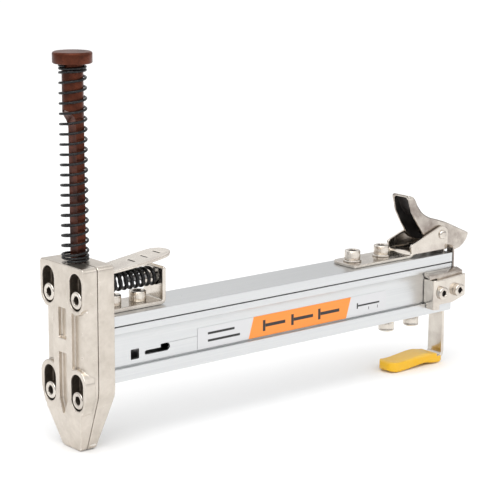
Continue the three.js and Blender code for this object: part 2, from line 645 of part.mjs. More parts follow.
function addRearBracket() {
  addSolid('cover_end_plate', coverEndPlate(), FINISH.brightNickel());
  addSolid('cover_bracket', coverBracket(), FINISH.brightNickel());
  BRACKET_SCREW_X.forEach((x, i) => {
    const seat = new THREE.Vector3(x, BRACKET_FACE_Y - REST_GAP, BRACKET_SCREW_Z);
    addScrew(`cover_bracket_screw_${i + 1}`, M4_LOW_HEAD, 10.4, seat, NEAR_SIDE);
  });
  const packing = alongY(roundedRect(BRACKET_X0 + BRACKET_SHEET + REST_GAP, 240.6, 41.6, 50.4, 1.5), -16.6, -11.1);
  const holes = BRACKET_SCREW_X.map((x) => rod('y', [x, BRACKET_SCREW_Z], M4_LOW_HEAD.hole, -17, -11));
  addSolid('cover_bracket_packing', cut(packing, ...holes), FINISH.brightNickel());
}

// ---------------------------------------------------------------- nail pusher

function addPusher() {
  const { x0, x1, rollZ, rollRadius } = PUSHER;
  const rollX = x1 - rollRadius;
  const body = join(
    block(x0, x1, -1.4, 1.4, 37.6, 55.2),
    block(x0, x1, -4.5, 10.6, 54.6, 57.4),
    block(rollX - rollRadius, x1, 9.8, 10.6, rollZ - 4, 57),
  );
  const pinHole = rod('y', [rollX, rollZ], 1.4, 9, 12, 16);
  addSolid('pusher', cut(body, pinHole), FINISH.hardSteel());
  const roll = cut(rod('y', [rollX, rollZ], rollRadius, 5.8, 9.4, 28), rod('y', [rollX, rollZ], 1.6, 5, 10, 16));
  addSolid('pusher_spring_roll', roll, FINISH.hardSteel());
  addSolid('pusher_roll_pin', rod('y', [rollX, rollZ], 1.2, 5.7, 10.6, 16), FINISH.brightNickel());
}

// ---------------------------------------------------------------- front catch

function catchBracket() {
  const t = CATCH_SHEET;
  const plateZ = RAIL_TOP + REST_GAP + t / 2;
  const wallX = CATCH_BRACKET_REAR - t / 2;
  const profile = bentSheet(
    [[RAIL_FRONT + REST_GAP, plateZ], [wallX, plateZ], [wallX, CATCH_WALL_TOP - 0.6], [wallX + 0.6, CATCH_WALL_TOP]],
    t, 1.8,
  );
  const w = CATCH_BRACKET_HALF_WIDTH;
  const sheet = alongY(profile, -w, w);
  const ears = [-1, 1].map((side) => {
    const ear = new THREE.Shape();
    ear.moveTo(10, plateZ);
    ear.lineTo(16, plateZ);
    ear.lineTo(16, CATCH_PIVOT.z);
    ear.absarc(CATCH_PIVOT.x, CATCH_PIVOT.z, 3, 0, Math.PI, false);
    ear.closePath();
    return alongY(ear, side > 0 ? 6.5 : -w, side > 0 ? w : -6.5);
  });
  const holes = CATCH_SCREW_X.map((x) => rod('z', [x, 0], M5.hole, 60, 70));
  holes.push(rod('y', [CATCH_PIVOT.x, CATCH_PIVOT.z], 1.3, -10, 10, 20));
  holes.push(rod('x', [0, CATCH_SPRING_Z], 1.6, 40, 50, 20));
  return cut(join(sheet, ...ears), ...holes);
}

function catchLever() {
  const armX = CATCH_PIVOT.x - 1.1;
  const side = roundedPath(
    [[armX, CATCH_PIVOT.z], [armX, 83.6], [26, 85.3], [40, 87.1], [TONGUE_END + 0.4, 89.3]],
    3.5,
  );
  const profile = stripShape(side, () => 1.4);
  // Plan of the tongue: it widens from the arm to a round end.
  const plan = new THREE.Shape();
  const w = TONGUE_HALF_WIDTH;
  plan.moveTo(9, -7);
  plan.lineTo(18, -7.2);
  plan.bezierCurveTo(26, -w, 36, -w, 44, -w);
  plan.bezierCurveTo(50, -w, TONGUE_END, -5, TONGUE_END, 0);
  plan.bezierCurveTo(TONGUE_END, 5, 50, w, 44, w);
  plan.bezierCurveTo(36, w, 26, w, 18, 7.2);
  plan.lineTo(9, 7);
  plan.closePath();
  const sheet = overlap(alongY(profile, -w, w), alongZ(plan, 60, 100));
  // The arm is narrower than the tongue, to turn between the bracket's ears.
  const armRelief = [-1, 1].map((s) => block(8, 17, s > 0 ? 6 : -9, s > 0 ? 9 : -6, 60, 80));
  const barrel = rod('y', [CATCH_PIVOT.x, CATCH_PIVOT.z], 2.3, -6, 6, 24);
  const holes = [
    rod('y', [CATCH_PIVOT.x, CATCH_PIVOT.z], 1.4, -10, 10, 20),
    rod('x', [0, CATCH_SPRING_Z], 1.9, 8, 15, 20),
  ];
  // Short cross slots in the tongue's top give the thumb some grip.
  const slots = TONGUE_GRIP_X.map((x) => {
    const top = 85.3 + (x - 26) * 0.145 + 0.7;
    return block(x - 0.5, x + 0.5, -3, 3, top - 0.45, top + 2);
  });
  return cut(join(cut(sheet, ...armRelief), barrel), ...holes, ...slots);
}

function addCatch() {
  addSolid('catch_bracket', catchBracket(), FINISH.brightNickel());
  CATCH_SCREW_X.forEach((x, i) => {
    const seat = new THREE.Vector3(x, 0, RAIL_TOP + CATCH_SHEET + REST_GAP * 2);
    addScrew(`catch_bracket_screw_${i + 1}`, M5, 7.4, seat, UP);
  });
  addSolid('catch_lever', catchLever(), FINISH.brightNickel());
  addSolid('catch_pivot_pin', rod('y', [CATCH_PIVOT.x, CATCH_PIVOT.z], 1.15, -8.6, 8.6, 20), FINISH.hardSteel());
  const plunger = join(
    rod('x', [0, CATCH_SPRING_Z], 1.4, 4.2, 13.5, 20),
    rod('x', [0, CATCH_SPRING_Z], 2.7, 12.9, 14.1, 20),
  );
  addSolid('catch_plunger', plunger, FINISH.hardSteel());

  const wallInner = CATCH_BRACKET_REAR - CATCH_SHEET;
  const guidePin = join(
    rod('x', [0, CATCH_SPRING_Z], 1.5, 30, CATCH_BRACKET_REAR + 0.4, 20),
    rod('x', [0, CATCH_SPRING_Z], 2.6, CATCH_BRACKET_REAR + 0.1, CATCH_BRACKET_REAR + 1.2, 20),
  );
  addSolid('catch_spring_guide', guidePin, FINISH.hardSteel());
  const { meanRadius, wire: wireRadius, turns } = CATCH_SPRING;
  const start = CATCH_PIVOT.x - 0.4 + RUN_GAP + wireRadius;
  const end = wallInner - REST_GAP - wireRadius;
  const coil = new Coil(meanRadius, turns, (turn) => start + ((end - start) * turn) / turns);
  const spring = addPiece('catch_spring', wire(coil, wireRadius, turns * 8, 5), FINISH.blackSpring());
  spring.rotation.y = Math.PI / 2;
  spring.position.z = CATCH_SPRING_Z;
}

// ---------------------------------------------------------------- rear latch

function latchBase() {
  const t = LATCH_SHEET;
  const low = RAIL_TOP + REST_GAP + t / 2;
  const high = low + t;
  const w = LATCH_BASE_HALF_WIDTH;
  const profile = bentSheet([[LATCH_BASE_FRONT, low], [211.6, low], [213.6, high], [239.4, high]], t, 1.2);
  const plan = new THREE.Shape();
  plan.moveTo(LATCH_BASE_FRONT + 1.2, -w);
  plan.lineTo(241, -w);
  plan.lineTo(241, w);
  plan.lineTo(LATCH_BASE_FRONT + 6, w);
  plan.quadraticCurveTo(LATCH_BASE_FRONT, w, LATCH_BASE_FRONT, w - 6);
  plan.lineTo(LATCH_BASE_FRONT, -w + 1.2);
  plan.quadraticCurveTo(LATCH_BASE_FRONT, -w, LATCH_BASE_FRONT + 1.2, -w);
  const sheet = overlap(alongY(profile, -w, w), alongZ(plan, 60, 80));
  const ears = [-1, 1].map((side) => {
    const ear = new THREE.Shape();
    ear.moveTo(212.4, high - t / 2);
    ear.lineTo(239.6, high - t / 2);
    ear.lineTo(240.2, 71.4);
    ear.absarc(LATCH_PIVOT.x, LATCH_PIVOT.z, 4.8, -0.3, Math.PI * 0.61, false);
    ear.lineTo(213.2, 72);
    ear.quadraticCurveTo(211.8, 71.4, 211.8, 70);
    ear.closePath();
    return alongY(ear, side > 0 ? w - t : -w, side > 0 ? w : -w + t);
  });
  const holes = LATCH_SCREW_X.map((x) => rod('z', [x, 0], M5.hole, 60, 70));
  holes.push(rod('y', [LATCH_PIVOT.x, LATCH_PIVOT.z], RIVET_RADIUS + REST_GAP * 1.5, -12, 12));
  return cut(join(sheet, ...ears), ...holes);
}

// Side outline of the lever, inset by a wall thickness for the hollow of the pressed channel.
function latchLeverOutline(inset) {
  const back = new THREE.SplineCurve(
    [[212.6, 98.4], [215.6, 97.3], [217.6, 94.8], [219.6, 91.2], [223, 87.5], [227.9, 84.8], [233.2, 83.2],
      [240, 80.9], [248, 77.4], [258.2, 72.8]]
      .map(([x, z]) => new THREE.Vector2(x, z)),
  ).getPoints(30);
  if (inset > 0) {
    const moved = stripShape(back, () => inset * 2);
    const points = moved.getPoints();
    const inner = points.slice(points.length / 2).map((p) => [p.x, p.y]);
    // The hollow is open to the front, below and at the tail.
    return outline([...inner, [200, 104], [200, 60], [262, 60], [262, 69]].reverse());
  }
  const under = [
    [258.4, 71.6], [257.2, 69.2], [254.9, 66.8], [251.8, 64.9], [248.3, 64.2], [243, 67.4],
    [239.5, 69.6], [233, 69.8], [228.4, 71.4], [223.4, 75.4], [218.9, 81.7], [214.6, 88.6], [212.2, 96.6],
    [212.4, 98.2],
  ];
  return outline([...back.map((p) => [p.x, p.y]), ...under]);
}

// Front view of the lever, narrower at the thumb end.
function latchLeverFront(inset) {
  const base = LATCH_LEVER_HALF_WIDTH - inset;
  const top = LATCH_THUMB_HALF_WIDTH - inset;
  return outline([
    [-base, 55], [base, 55], [base, 80], [top, 94], [top, 97.2 - inset], [top - 1.6, 98.9 - inset * 1.3],
    [-top + 1.6, 98.9 - inset * 1.3], [-top, 97.2 - inset], [-top, 94], [-base, 80],
  ]);
}

function latchLever() {
  const outer = overlap(alongY(latchLeverOutline(0), -9, 9), alongX(latchLeverFront(0), 200, 262));
  const t = LATCH_LEVER_WALL;
  const inner = overlap(alongY(latchLeverOutline(t), -9, 9), alongX(latchLeverFront(t), 199, 263));
  const pivotHole = rod('y', [LATCH_PIVOT.x, LATCH_PIVOT.z], RIVET_RADIUS + REST_GAP * 2, -12, 12);
  return cut(outer, inner, pivotHole);
}

// Torsion spring: a short coil on the rivet with one leg on the base and one under the lever's skin.
class TorsionSpring extends THREE.Curve {
  getPoint(t, target = new THREE.Vector3()) {
    const radius = 3.1;
    const turns = 3.5;
    const legShare = 0.14;
    const startAngle = -Math.PI / 2;
    if (t < legShare) {
      const along = 1 - t / legShare;
      return target.set(-along * 9, -2.6, -radius - along * 1.6);
    }
    if (t > 1 - legShare) {
      const along = (t - 1 + legShare) / legShare;
      return target.set(-along * 6.5, 2.6, radius + along * 1.2);
    }
    const share = (t - legShare) / (1 - legShare * 2);
    const angle = startAngle + share * turns * Math.PI * 2;
    return target.set(radius * Math.cos(angle), -2.6 + share * 5.2, radius * Math.sin(angle));
  }
}

function addLatch() {
  addSolid('latch_base', latchBase(), FINISH.brightNickel());
  LATCH_SCREW_X.forEach((x, i) => {
    const plateTop = RAIL_TOP + LATCH_SHEET + REST_GAP;
    const washer = cut(
      rod('z', [x, 0], 4.9, plateTop + REST_GAP, plateTop + 1.1, 28),
      rod('z', [x, 0], M5.hole, plateTop, plateTop + 2, 24),
    );
    addSolid(`latch_base_washer_${i + 1}`, washer, FINISH.brightNickel());
    addScrew(`latch_base_screw_${i + 1}`, M5, 8, new THREE.Vector3(x, 0, plateTop + 1.2), UP);
  });
  addSolid('latch_lever', latchLever(), FINISH.brightNickel());
  const rivetEnd = LATCH_BASE_HALF_WIDTH + REST_GAP;
  const profile = [[RIVET_HEAD_RADIUS, 0], [RIVET_HEAD_RADIUS, 0.2], [RIVET_HEAD_RADIUS - 0.8, 0.9], [0, 1.1]];
  const headAbove = profile.map(([r, h]) => [r, rivetEnd + h]);
  const headBelow = profile.map(([r, h]) => [r, -rivetEnd - h]).reverse();
  const rivet = turned([...headBelow, [RIVET_RADIUS, -rivetEnd], [RIVET_RADIUS, rivetEnd], ...headAbove], 24);
  const rivetMesh = addSolid('latch_rivet', rivet, FINISH.brightNickel());
  rivetMesh.rotation.x = Math.PI / 2;
  rivetMesh.position.set(LATCH_PIVOT.x, 0, LATCH_PIVOT.z);
  const spring = addPiece('latch_torsion_spring', wire(new TorsionSpring(), 0.45, 60, 5), FINISH.blackSpring());
  spring.position.set(LATCH_PIVOT.x, 0, LATCH_PIVOT.z);
}

// ---------------------------------------------------------------- hook

// Plan of the grip: blunt round tip in front, smaller corners behind.
function gripPlan(front, rear, halfWidth, frontRadius, rearRadius) {
  const shape = new THREE.Shape();
  shape.absarc(rear - rearRadius, -halfWidth + rearRadius, rearRadius, -Math.PI / 2, 0, false);
  shape.absarc(rear - rearRadius, halfWidth - rearRadius, rearRadius, 0, Math.PI / 2, false);
  shape.absarc(front + frontRadius, halfWidth - frontRadius, frontRadius, Math.PI / 2, Math.PI, false);
  shape.absarc(front + frontRadius, -halfWidth + frontRadius, frontRadius, Math.PI, Math.PI * 1.5, false);
  shape.closePath();
  return shape;
}

function addHook() {
  const t = HOOK_SHEET;
  const limbZ = RAIL_BOTTOM - REST_GAP - t / 2;
  const strap = bentSheet(
    [[HOOK_FRONT, limbZ], [HOOK_DROP_X, limbZ], [HOOK_DROP_X, 2.9], [236, 2.9], [228, 4.3], [210, 2.6], [206, 3.4]],
    t, 4,
  );
  const holes = HOOK_SCREW_X.map((x) => rod('z', [x, 0], M5.hole, 28, 34));
  const strapBody = cut(alongY(strap, -HOOK_HALF_WIDTH, HOOK_HALF_WIDTH), ...holes);
  addSolid('hook_strap', strapBody, FINISH.brightNickel());
  HOOK_SCREW_X.forEach((x, i) => {
    const underside = limbZ - t / 2 - REST_GAP;
    const washer = cut(
      rod('z', [x, 0], 4.9, underside - 1, underside, 28),
      rod('z', [x, 0], M5.hole, underside - 2, underside + 1, 24),
    );
    addSolid(`hook_washer_${i + 1}`, washer, FINISH.brightNickel());
    addScrew(`hook_screw_${i + 1}`, M5, 7, new THREE.Vector3(x, 0, underside - 1.1), DOWN);
  });

  // Dipped grip: a waved, round-ended sleeve over the strap's lower limb.
  const crest = new THREE.SplineCurve(
    [[202.6, 4], [205.5, 3.1], [210, 2.8], [218, 3.5], [228, 4.4], [235, 3.4], [242, 2.6]]
      .map(([x, z]) => new THREE.Vector2(x, z)),
  ).getPoints(24);
  const sleeve = stripShape(crest, (s) => 5.4 * Math.min(1, 0.45 + s * 7, 0.62 + (1 - s) * 5));
  const plan = gripPlan(202.2, 242.6, GRIP_HALF_WIDTH, 5.2, 2.6);
  const hollow = alongY(
    stripShape(roundedPath(
      [[HOOK_DROP_X, 30], [HOOK_DROP_X, 2.9], [236, 2.9], [228, 4.3], [210, 2.6], [205.7, 3.5]], 4,
    ), () => t + REST_GAP * 2),
    -HOOK_HALF_WIDTH - REST_GAP, HOOK_HALF_WIDTH + REST_GAP,
  );
  // Above and behind the strap's lower bend the sleeve stops short.
  const bend = join(
    block(238, 246, -7, 7, 3.9 + REST_GAP, 12),
    block(HOOK_DROP_X - t / 2 - REST_GAP, 246, -7, 7, 1, 12),
  );
  const body = cut(overlap(alongY(sleeve, -GRIP_HALF_WIDTH, GRIP_HALF_WIDTH), alongZ(plan, -2, 12)), hollow, bend);
  addSolid('hook_grip', body, FINISH.yellowDip());
}

addNose();
addStriker();
addRail();
addSideCover();
addRearBracket();
addPusher();
addCatch();
addLatch();
addHook();

export default nailer;
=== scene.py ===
"""Looks of a hand-struck flooring nailer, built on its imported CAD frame. Metres, +Z up."""

import json
import math

import bmesh
import bpy
from bpy.props import FloatProperty, FloatVectorProperty, IntProperty, PointerProperty
from bpy.types import Operator, Panel, PropertyGroup
from mathutils import Matrix, Vector


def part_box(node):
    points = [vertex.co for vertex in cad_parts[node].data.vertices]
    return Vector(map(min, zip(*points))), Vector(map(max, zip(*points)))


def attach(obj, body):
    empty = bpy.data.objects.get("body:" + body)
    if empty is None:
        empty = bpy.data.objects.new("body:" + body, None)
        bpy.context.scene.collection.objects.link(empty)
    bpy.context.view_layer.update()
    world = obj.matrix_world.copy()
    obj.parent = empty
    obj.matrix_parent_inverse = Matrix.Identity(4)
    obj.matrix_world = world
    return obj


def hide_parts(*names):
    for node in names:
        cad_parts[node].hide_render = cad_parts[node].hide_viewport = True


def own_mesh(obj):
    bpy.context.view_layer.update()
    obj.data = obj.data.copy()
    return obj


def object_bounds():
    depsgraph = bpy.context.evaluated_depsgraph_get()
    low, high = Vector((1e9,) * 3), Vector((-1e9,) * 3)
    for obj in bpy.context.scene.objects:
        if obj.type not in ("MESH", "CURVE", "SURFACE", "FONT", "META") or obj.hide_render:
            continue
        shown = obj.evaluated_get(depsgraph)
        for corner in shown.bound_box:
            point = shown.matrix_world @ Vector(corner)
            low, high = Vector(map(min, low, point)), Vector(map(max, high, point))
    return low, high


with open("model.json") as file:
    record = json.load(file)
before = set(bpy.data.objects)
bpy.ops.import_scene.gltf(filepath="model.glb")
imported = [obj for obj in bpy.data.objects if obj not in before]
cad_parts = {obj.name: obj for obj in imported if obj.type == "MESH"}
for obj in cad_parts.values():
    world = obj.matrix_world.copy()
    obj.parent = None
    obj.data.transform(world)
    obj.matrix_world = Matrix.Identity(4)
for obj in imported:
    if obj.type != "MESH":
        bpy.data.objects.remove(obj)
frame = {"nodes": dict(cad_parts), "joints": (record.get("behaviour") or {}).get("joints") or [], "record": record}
CAD_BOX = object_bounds()

bl_info = {
    "name": "Flooring Nailer Looks",
    "version": (1, 0, 0),
    "blender": (4, 5, 0),
    "location": "3D View > Sidebar > Nailer",
    "description": "Shapes and finishes of a hand-struck flooring nailer",
    "category": "Object",
}

MM = 0.001
BODY_OF = {
    node: body
    for body, nodes in frame["record"]["behaviour"]["bodies"].items()
    for node in nodes
}
AXES = {"X": Vector((1, 0, 0)), "Y": Vector((0, 1, 0)), "Z": Vector((0, 0, 1))}


# ---------------------------------------------------------------- settings


def colour(name, description, default):
    return FloatVectorProperty(
        name=name, description=description, default=default, size=3, min=0, max=1, subtype="COLOR"
    )


def length(name, description, millimetres):
    return FloatProperty(
        name=name, description=description, default=millimetres * MM, min=0, unit="LENGTH", subtype="DISTANCE"
    )


class NailerFinishes(PropertyGroup):
    casting: colour("Casting", "Nickel-washed die casting of the nose", (0.72, 0.66, 0.59))
    # The casting shade is partly the casting's own mottle, partly painted shade standing in for cloudy reflections.
    casting_shade: colour("Casting shade", "Darker, greyer patches of the casting", (0.44, 0.39, 0.33))
    plating: colour("Plating", "Bright nickel plate on sheet parts and screws", (0.74, 0.69, 0.62))
    aluminium: colour("Aluminium", "Anodised extrusion", (0.70, 0.71, 0.71))
    oxide: colour("Oxide", "Brown oxide of the striker", (0.125, 0.034, 0.017))
    oxide_dark: colour("Dark oxide", "Darker patches of the brown oxide", (0.020, 0.007, 0.005))
    spring: colour("Spring wire", "Oiled black wire", (0.014, 0.014, 0.015))
    steel: colour("Tool steel", "Ground steel of pins, blade and guide", (0.40, 0.40, 0.41))
    nylon: colour("Nylon", "Moulded plug in the rail's end", (0.018, 0.018, 0.02))
    film: colour("Label film", "White of the cover's label", (0.66, 0.66, 0.67))
    block: colour("Label block", "Orange block of the cover's label", (0.93, 0.29, 0.045))
    ink: colour("Label ink", "Printed marks of the cover's label", (0.02, 0.02, 0.02))
    dip: colour("Dipped grip", "Yellow plastic of the hook's grip", (0.84, 0.47, 0.004))


class NailerShapes(PropertyGroup):
    casting_voxel: length("Casting cell", "Cell size used to soften the cast halves", 0.32)
    casting_passes: IntProperty(name="Casting passes", description="Smoothing passes on the casting", default=3, min=0)
    sheet_voxel: length("Sheet cell", "Cell size used to soften pressed sheet", 0.26)
    sheet_passes: IntProperty(name="Sheet passes", description="Smoothing passes on pressed sheet", default=3, min=0)
    edge: length("Broken edge", "Width of the broken edges on extruded parts", 0.22)
    turn_steps: IntProperty(name="Turning steps", description="Facets round a turned part", default=96, min=24)
    coil_steps: IntProperty(name="Coil steps", description="Facets round one turn of a spring", default=40, min=12)


class NailerStudio(PropertyGroup):
    floor: colour("Floor", "Plain pale floor", (0.93, 0.93, 0.93))
    wash: FloatProperty(name="Wash", description="Strength of the broad even light", default=1.35, min=0)
    key: FloatProperty(name="Key light", description="Power of the large front light", default=2.6, unit="POWER")
    side: FloatProperty(name="Side light", description="Power of the long side light", default=1.6, unit="POWER")
    sky: FloatProperty(name="Sky", description="Strength of the pale surroundings", default=0.82, min=0)
    zenith: colour("Zenith", "Surroundings overhead", (1.0, 1.0, 1.0))
    horizon: colour("Horizon", "Dark band of the surroundings above the floor", (0.10, 0.10, 0.105))


# ---------------------------------------------------------------- shader graphs


class Wire:
    """A node's output socket. Arithmetic on it adds Math nodes."""

    def __init__(self, graph, output):
        self.graph = graph
        self.output = output

    def maths(self, operation, *terms, clamp=False):
        settings = {"operation": operation, "use_clamp": clamp}
        return self.graph.add("ShaderNodeMath", settings, dict(enumerate(terms)))

    def __add__(self, other):
        return self.maths("ADD", self, other)

    def __sub__(self, other):
        return self.maths("SUBTRACT", self, other)

    def __mul__(self, other):
        return self.maths("MULTIPLY", self, other)

    def __truediv__(self, other):
        return self.maths("DIVIDE", self, other)

    def __rsub__(self, other):
        return self.maths("SUBTRACT", other, self)

    def __or__(self, other):
        return self.maths("MAXIMUM", self, other)

    def __and__(self, other):
        return self.maths("MINIMUM", self, other)

    __radd__ = __add__
    __rmul__ = __mul__

    def clamped(self):
        return self.maths("MULTIPLY", self, 1.0, clamp=True)

    def ramp(self, low, high):
        """0 below low, 1 above high, straight in between. low may be the larger."""
        return ((self - low) / (high - low)).clamped()


class Graph:
    """The node tree of a material or of the world, from coordinates to its one shader."""

    def __init__(self, owner, shader, coordinates):
        owner.use_nodes = True
        self.owner = owner
        self.nodes = owner.node_tree.nodes
        self.links = owner.node_tree.links
        self.shader = self.nodes[shader]
        self.coordinates = self.add("ShaderNodeTexCoord", output=coordinates)

    def feed(self, socket, value):
        if isinstance(value, Wire):
            self.links.new(value.output, socket)
        elif hasattr(value, "__len__") and socket.type == "RGBA" and len(value) == 3:
            socket.default_value = (*value, 1)
        else:
            socket.default_value = value

    def add(self, kind, settings=None, inputs=None, output=0):
        """Adds one node: its settings first, then the values or links of its sockets."""
        node = self.nodes.new(kind)
        for key, value in (settings or {}).items():
            setattr(node, key, value)
        for key, value in (inputs or {}).items():
            self.feed(node.inputs[key], value)
        return Wire(self, node.outputs[output])

    def place(self):
        """The x, y and z of the coordinates."""
        outputs = self.add("ShaderNodeSeparateXYZ", None, {0: self.coordinates}).output.node.outputs
        return [Wire(self, output) for output in outputs]

    def stretched(self, scale):
        """The coordinates scaled by a different factor along each axis."""
        return self.add("ShaderNodeVectorMath", {"operation": "MULTIPLY"}, {0: self.coordinates, 1: scale})

    def noise(self, scale, detail=3.0, roughness=0.5, vector=None):
        """Noise from 0 to 1 with features about 1 / scale metres across."""
        inputs = {"Vector": vector or self.coordinates, "Scale": scale, "Detail": detail, "Roughness": roughness}
        return self.add("ShaderNodeTexNoise", {"normalize": True}, inputs)

    def cells(self, scale):
        """Distance to the nearest of scattered points, for pits and specks."""
        return self.add("ShaderNodeTexVoronoi", {"feature": "F1"}, {"Vector": self.coordinates, "Scale": scale})

    def edges(self, low, high):
        """1 along outward edges and 0 on flats, from the mesh's sharpness. Hollows with low above high."""
        return self.add("ShaderNodeNewGeometry", output="Pointiness").ramp(low, high)

    def mix(self, factor, first, second):
        inputs = {0: factor, 6: first, 7: second}
        return self.add("ShaderNodeMix", {"data_type": "RGBA", "blend_type": "MIX"}, inputs, output=2)

    def bump(self, height, distance, strength=1.0):
        return self.add("ShaderNodeBump", None, {"Height": height, "Distance": distance, "Strength": strength})

    def surface(self, **inputs):
        """Sets the shader's sockets, with underscores for spaces in their names."""
        for key, value in inputs.items():
            self.feed(self.shader.inputs[key.replace("_", " ")], value)
        return self.owner


def finishes():
    return bpy.context.scene.nailer_finishes


def once(make):
    """Makes a material the first time it is asked for and then hands out the same one.

    The frame brings materials of its own, some named like these, so these carry a prefix."""

    def made():
        name = "look_" + make.__name__
        known = bpy.data.materials.get(name)
        return known or make(Graph(bpy.data.materials.new(name), "Principled BSDF", "Object"))

    return made


@once
def cast_nickel(graph):
    colours = finishes()
    broad = graph.noise(75, 3, 0.55).ramp(0.35, 0.68)
    mottle = graph.noise(420, 4, 0.6).ramp(0.3, 0.75)
    grain = graph.noise(2600, 3, 0.65)
    pits = graph.cells(900).ramp(0.16, 0.05)
    # Painted highlight: outward edges are lightened to a pale nickel, partly real wear on the edges.
    edge_wear_and_highlight = graph.edges(0.53, 0.60)
    # Painted shade: hollows and creases are darkened, found from the mesh's sharpness.
    hollow_shade = graph.edges(0.485, 0.44)
    # The darker clouds are partly the casting's own mottle, partly painted shade standing in for cloudy reflections.
    body = graph.mix(broad * 0.40 + mottle * 0.22, colours.casting, colours.casting_shade)
    with_hollow_shade = graph.mix(hollow_shade * 0.75, body, (0.13, 0.11, 0.09))
    tone = graph.mix(edge_wear_and_highlight * 0.8, with_hollow_shade, (0.93, 0.90, 0.85))
    rough = 0.27 + mottle * 0.10 + hollow_shade * 0.15 - edge_wear_and_highlight * 0.14
    height = grain * 0.5 + mottle * 0.35 - pits * 0.5
    return graph.surface(
        Base_Color=tone, Metallic=1.0, Roughness=rough, Normal=graph.bump(height, 0.00006, 0.55)
    )


@once
def recess_shade(graph):
    """Painted shade: dark brown for the walls of the screw pockets and the sockets of the nose's screws."""
    stain = graph.noise(260, 4, 0.6)
    grain = graph.noise(2600, 3, 0.65)
    tone = graph.mix(stain.ramp(0.3, 0.75), (0.16, 0.135, 0.11), (0.07, 0.057, 0.045))
    return graph.surface(
        Base_Color=tone, Metallic=0.8, Roughness=0.38 + stain * 0.15, Normal=graph.bump(grain, 0.00006, 0.5)
    )


def plated(graph, brush, strength=0.5, dull_and_shade=(0.44, 0.38, 0.34), dull_and_shade_share=0.35, marks=0.0):
    """Bright nickel plate with faint brushing along one way, duller streaks that are partly painted shade, painted
    shade in hollows, painted highlights on edges and optional dark marks.
    """
    colours = finishes()
    cloud = graph.noise(160, 3, 0.55).ramp(0.3, 0.7)
    lines = graph.noise(1, 3, 0.6, graph.stretched(brush))
    along = graph.stretched((brush[1] * 0.3, brush[2] * 0.3, brush[0] * 0.3))
    rubs = graph.noise(1, 2, 0.5, along).ramp(0.62, 0.72)
    # Painted highlight: outward edges are lightened to a pale nickel, partly real wear on the edges.
    edge_wear_and_highlight = graph.edges(0.53, 0.60)
    # Painted shade: hollows and creases are darkened, found from the mesh's sharpness.
    hollow_shade = graph.edges(0.48, 0.42)
    streak = graph.noise(1, 3, 0.55, graph.stretched((brush[0] * 0.2, brush[1] * 0.05, brush[2] * 0.12)))
    # The duller streaks and clouds are partly the plate's own tone, partly painted shade.
    body = graph.mix((cloud + streak.ramp(0.42, 0.68)) * dull_and_shade_share, colours.plating, dull_and_shade)
    with_hollow_shade = graph.mix(hollow_shade * 0.7, body, (0.12, 0.10, 0.085))
    with_edge_highlight = graph.mix(edge_wear_and_highlight * 0.6, with_hollow_shade, (0.95, 0.92, 0.88))
    # Optional dark marks, used as painted shade for the tongue's slots.
    tone = graph.mix(marks, with_edge_highlight, (0.07, 0.06, 0.05))
    rough = 0.13 + cloud * 0.06 + lines * 0.08 + rubs * 0.10 - edge_wear_and_highlight * 0.04
    height = lines * 0.7 + rubs * 0.2
    return graph.surface(
        Base_Color=tone, Metallic=1.0, Roughness=rough, Normal=graph.bump(height, 0.00002, strength)
    )


@once
def nickel_sheet(graph):
    return plated(graph, (160, 2600, 900))


@once
def nickel_pressed(graph):
    """Deep-drawn sheet with browner, wider dark clouds: partly the plate's own tone, partly painted shade for the
    darker faces of the pressed parts.
    """
    return plated(graph, (120, 900, 500), dull_and_shade=(0.22, 0.175, 0.155), dull_and_shade_share=0.48)


@once
def nickel_tongue(graph):
    """Sheet whose three short pressed grip slots are painted on its top as dark marks, painted shade in place of the
    slots' hollows.
    """
    x, y, z = graph.place()
    slot_shade = bar(y, z, -0.0028, 0.0028, 0.0835, 0.0930)
    across = [x.ramp(middle - 0.0006, middle - 0.0004) & x.ramp(middle + 0.0006, middle + 0.0004)
              for middle in (0.0320, 0.0395, 0.0470)]
    return plated(graph, (160, 2600, 900), marks=slot_shade & (across[0] | across[1] | across[2]))


@once
def nickel_screw(graph):
    return plated(graph, (900, 900, 900), 0.35)


@once
def inner_shade(graph):
    """Painted shade: near-black faces deep inside the latch lever's channel and the screws' sockets."""
    stain = graph.noise(220, 4, 0.6)
    tone = graph.mix(stain.ramp(0.35, 0.7), (0.022, 0.019, 0.018), (0.060, 0.052, 0.048))
    return graph.surface(
        Base_Color=tone, Metallic=0.6, Roughness=0.42 + stain * 0.2, Normal=graph.bump(stain, 0.00004, 0.5)
    )


@once
def anodised(graph):
    colours = finishes()
    draw_lines = graph.noise(1, 4, 0.65, graph.stretched((9, 1500, 1500)))
    broad = graph.noise(1, 2, 0.5, graph.stretched((14, 160, 160)))
    fine = graph.noise(5200, 2, 0.6)
    scuffs = graph.noise(1, 3, 0.55, graph.stretched((70, 900, 900))).ramp(0.66, 0.74)
    body = graph.mix(draw_lines.ramp(0.3, 0.7) * 0.5, colours.aluminium, (0.60, 0.61, 0.63))
    tone = graph.mix(scuffs * 0.25, body, (0.86, 0.87, 0.88))
    rough = 0.23 + broad * 0.10 + fine * 0.06 - scuffs * 0.05
    height = draw_lines * 0.8 + fine * 0.25
    return graph.surface(
        Base_Color=tone, Metallic=1.0, Roughness=rough, Normal=graph.bump(height, 0.00003, 0.6)
    )


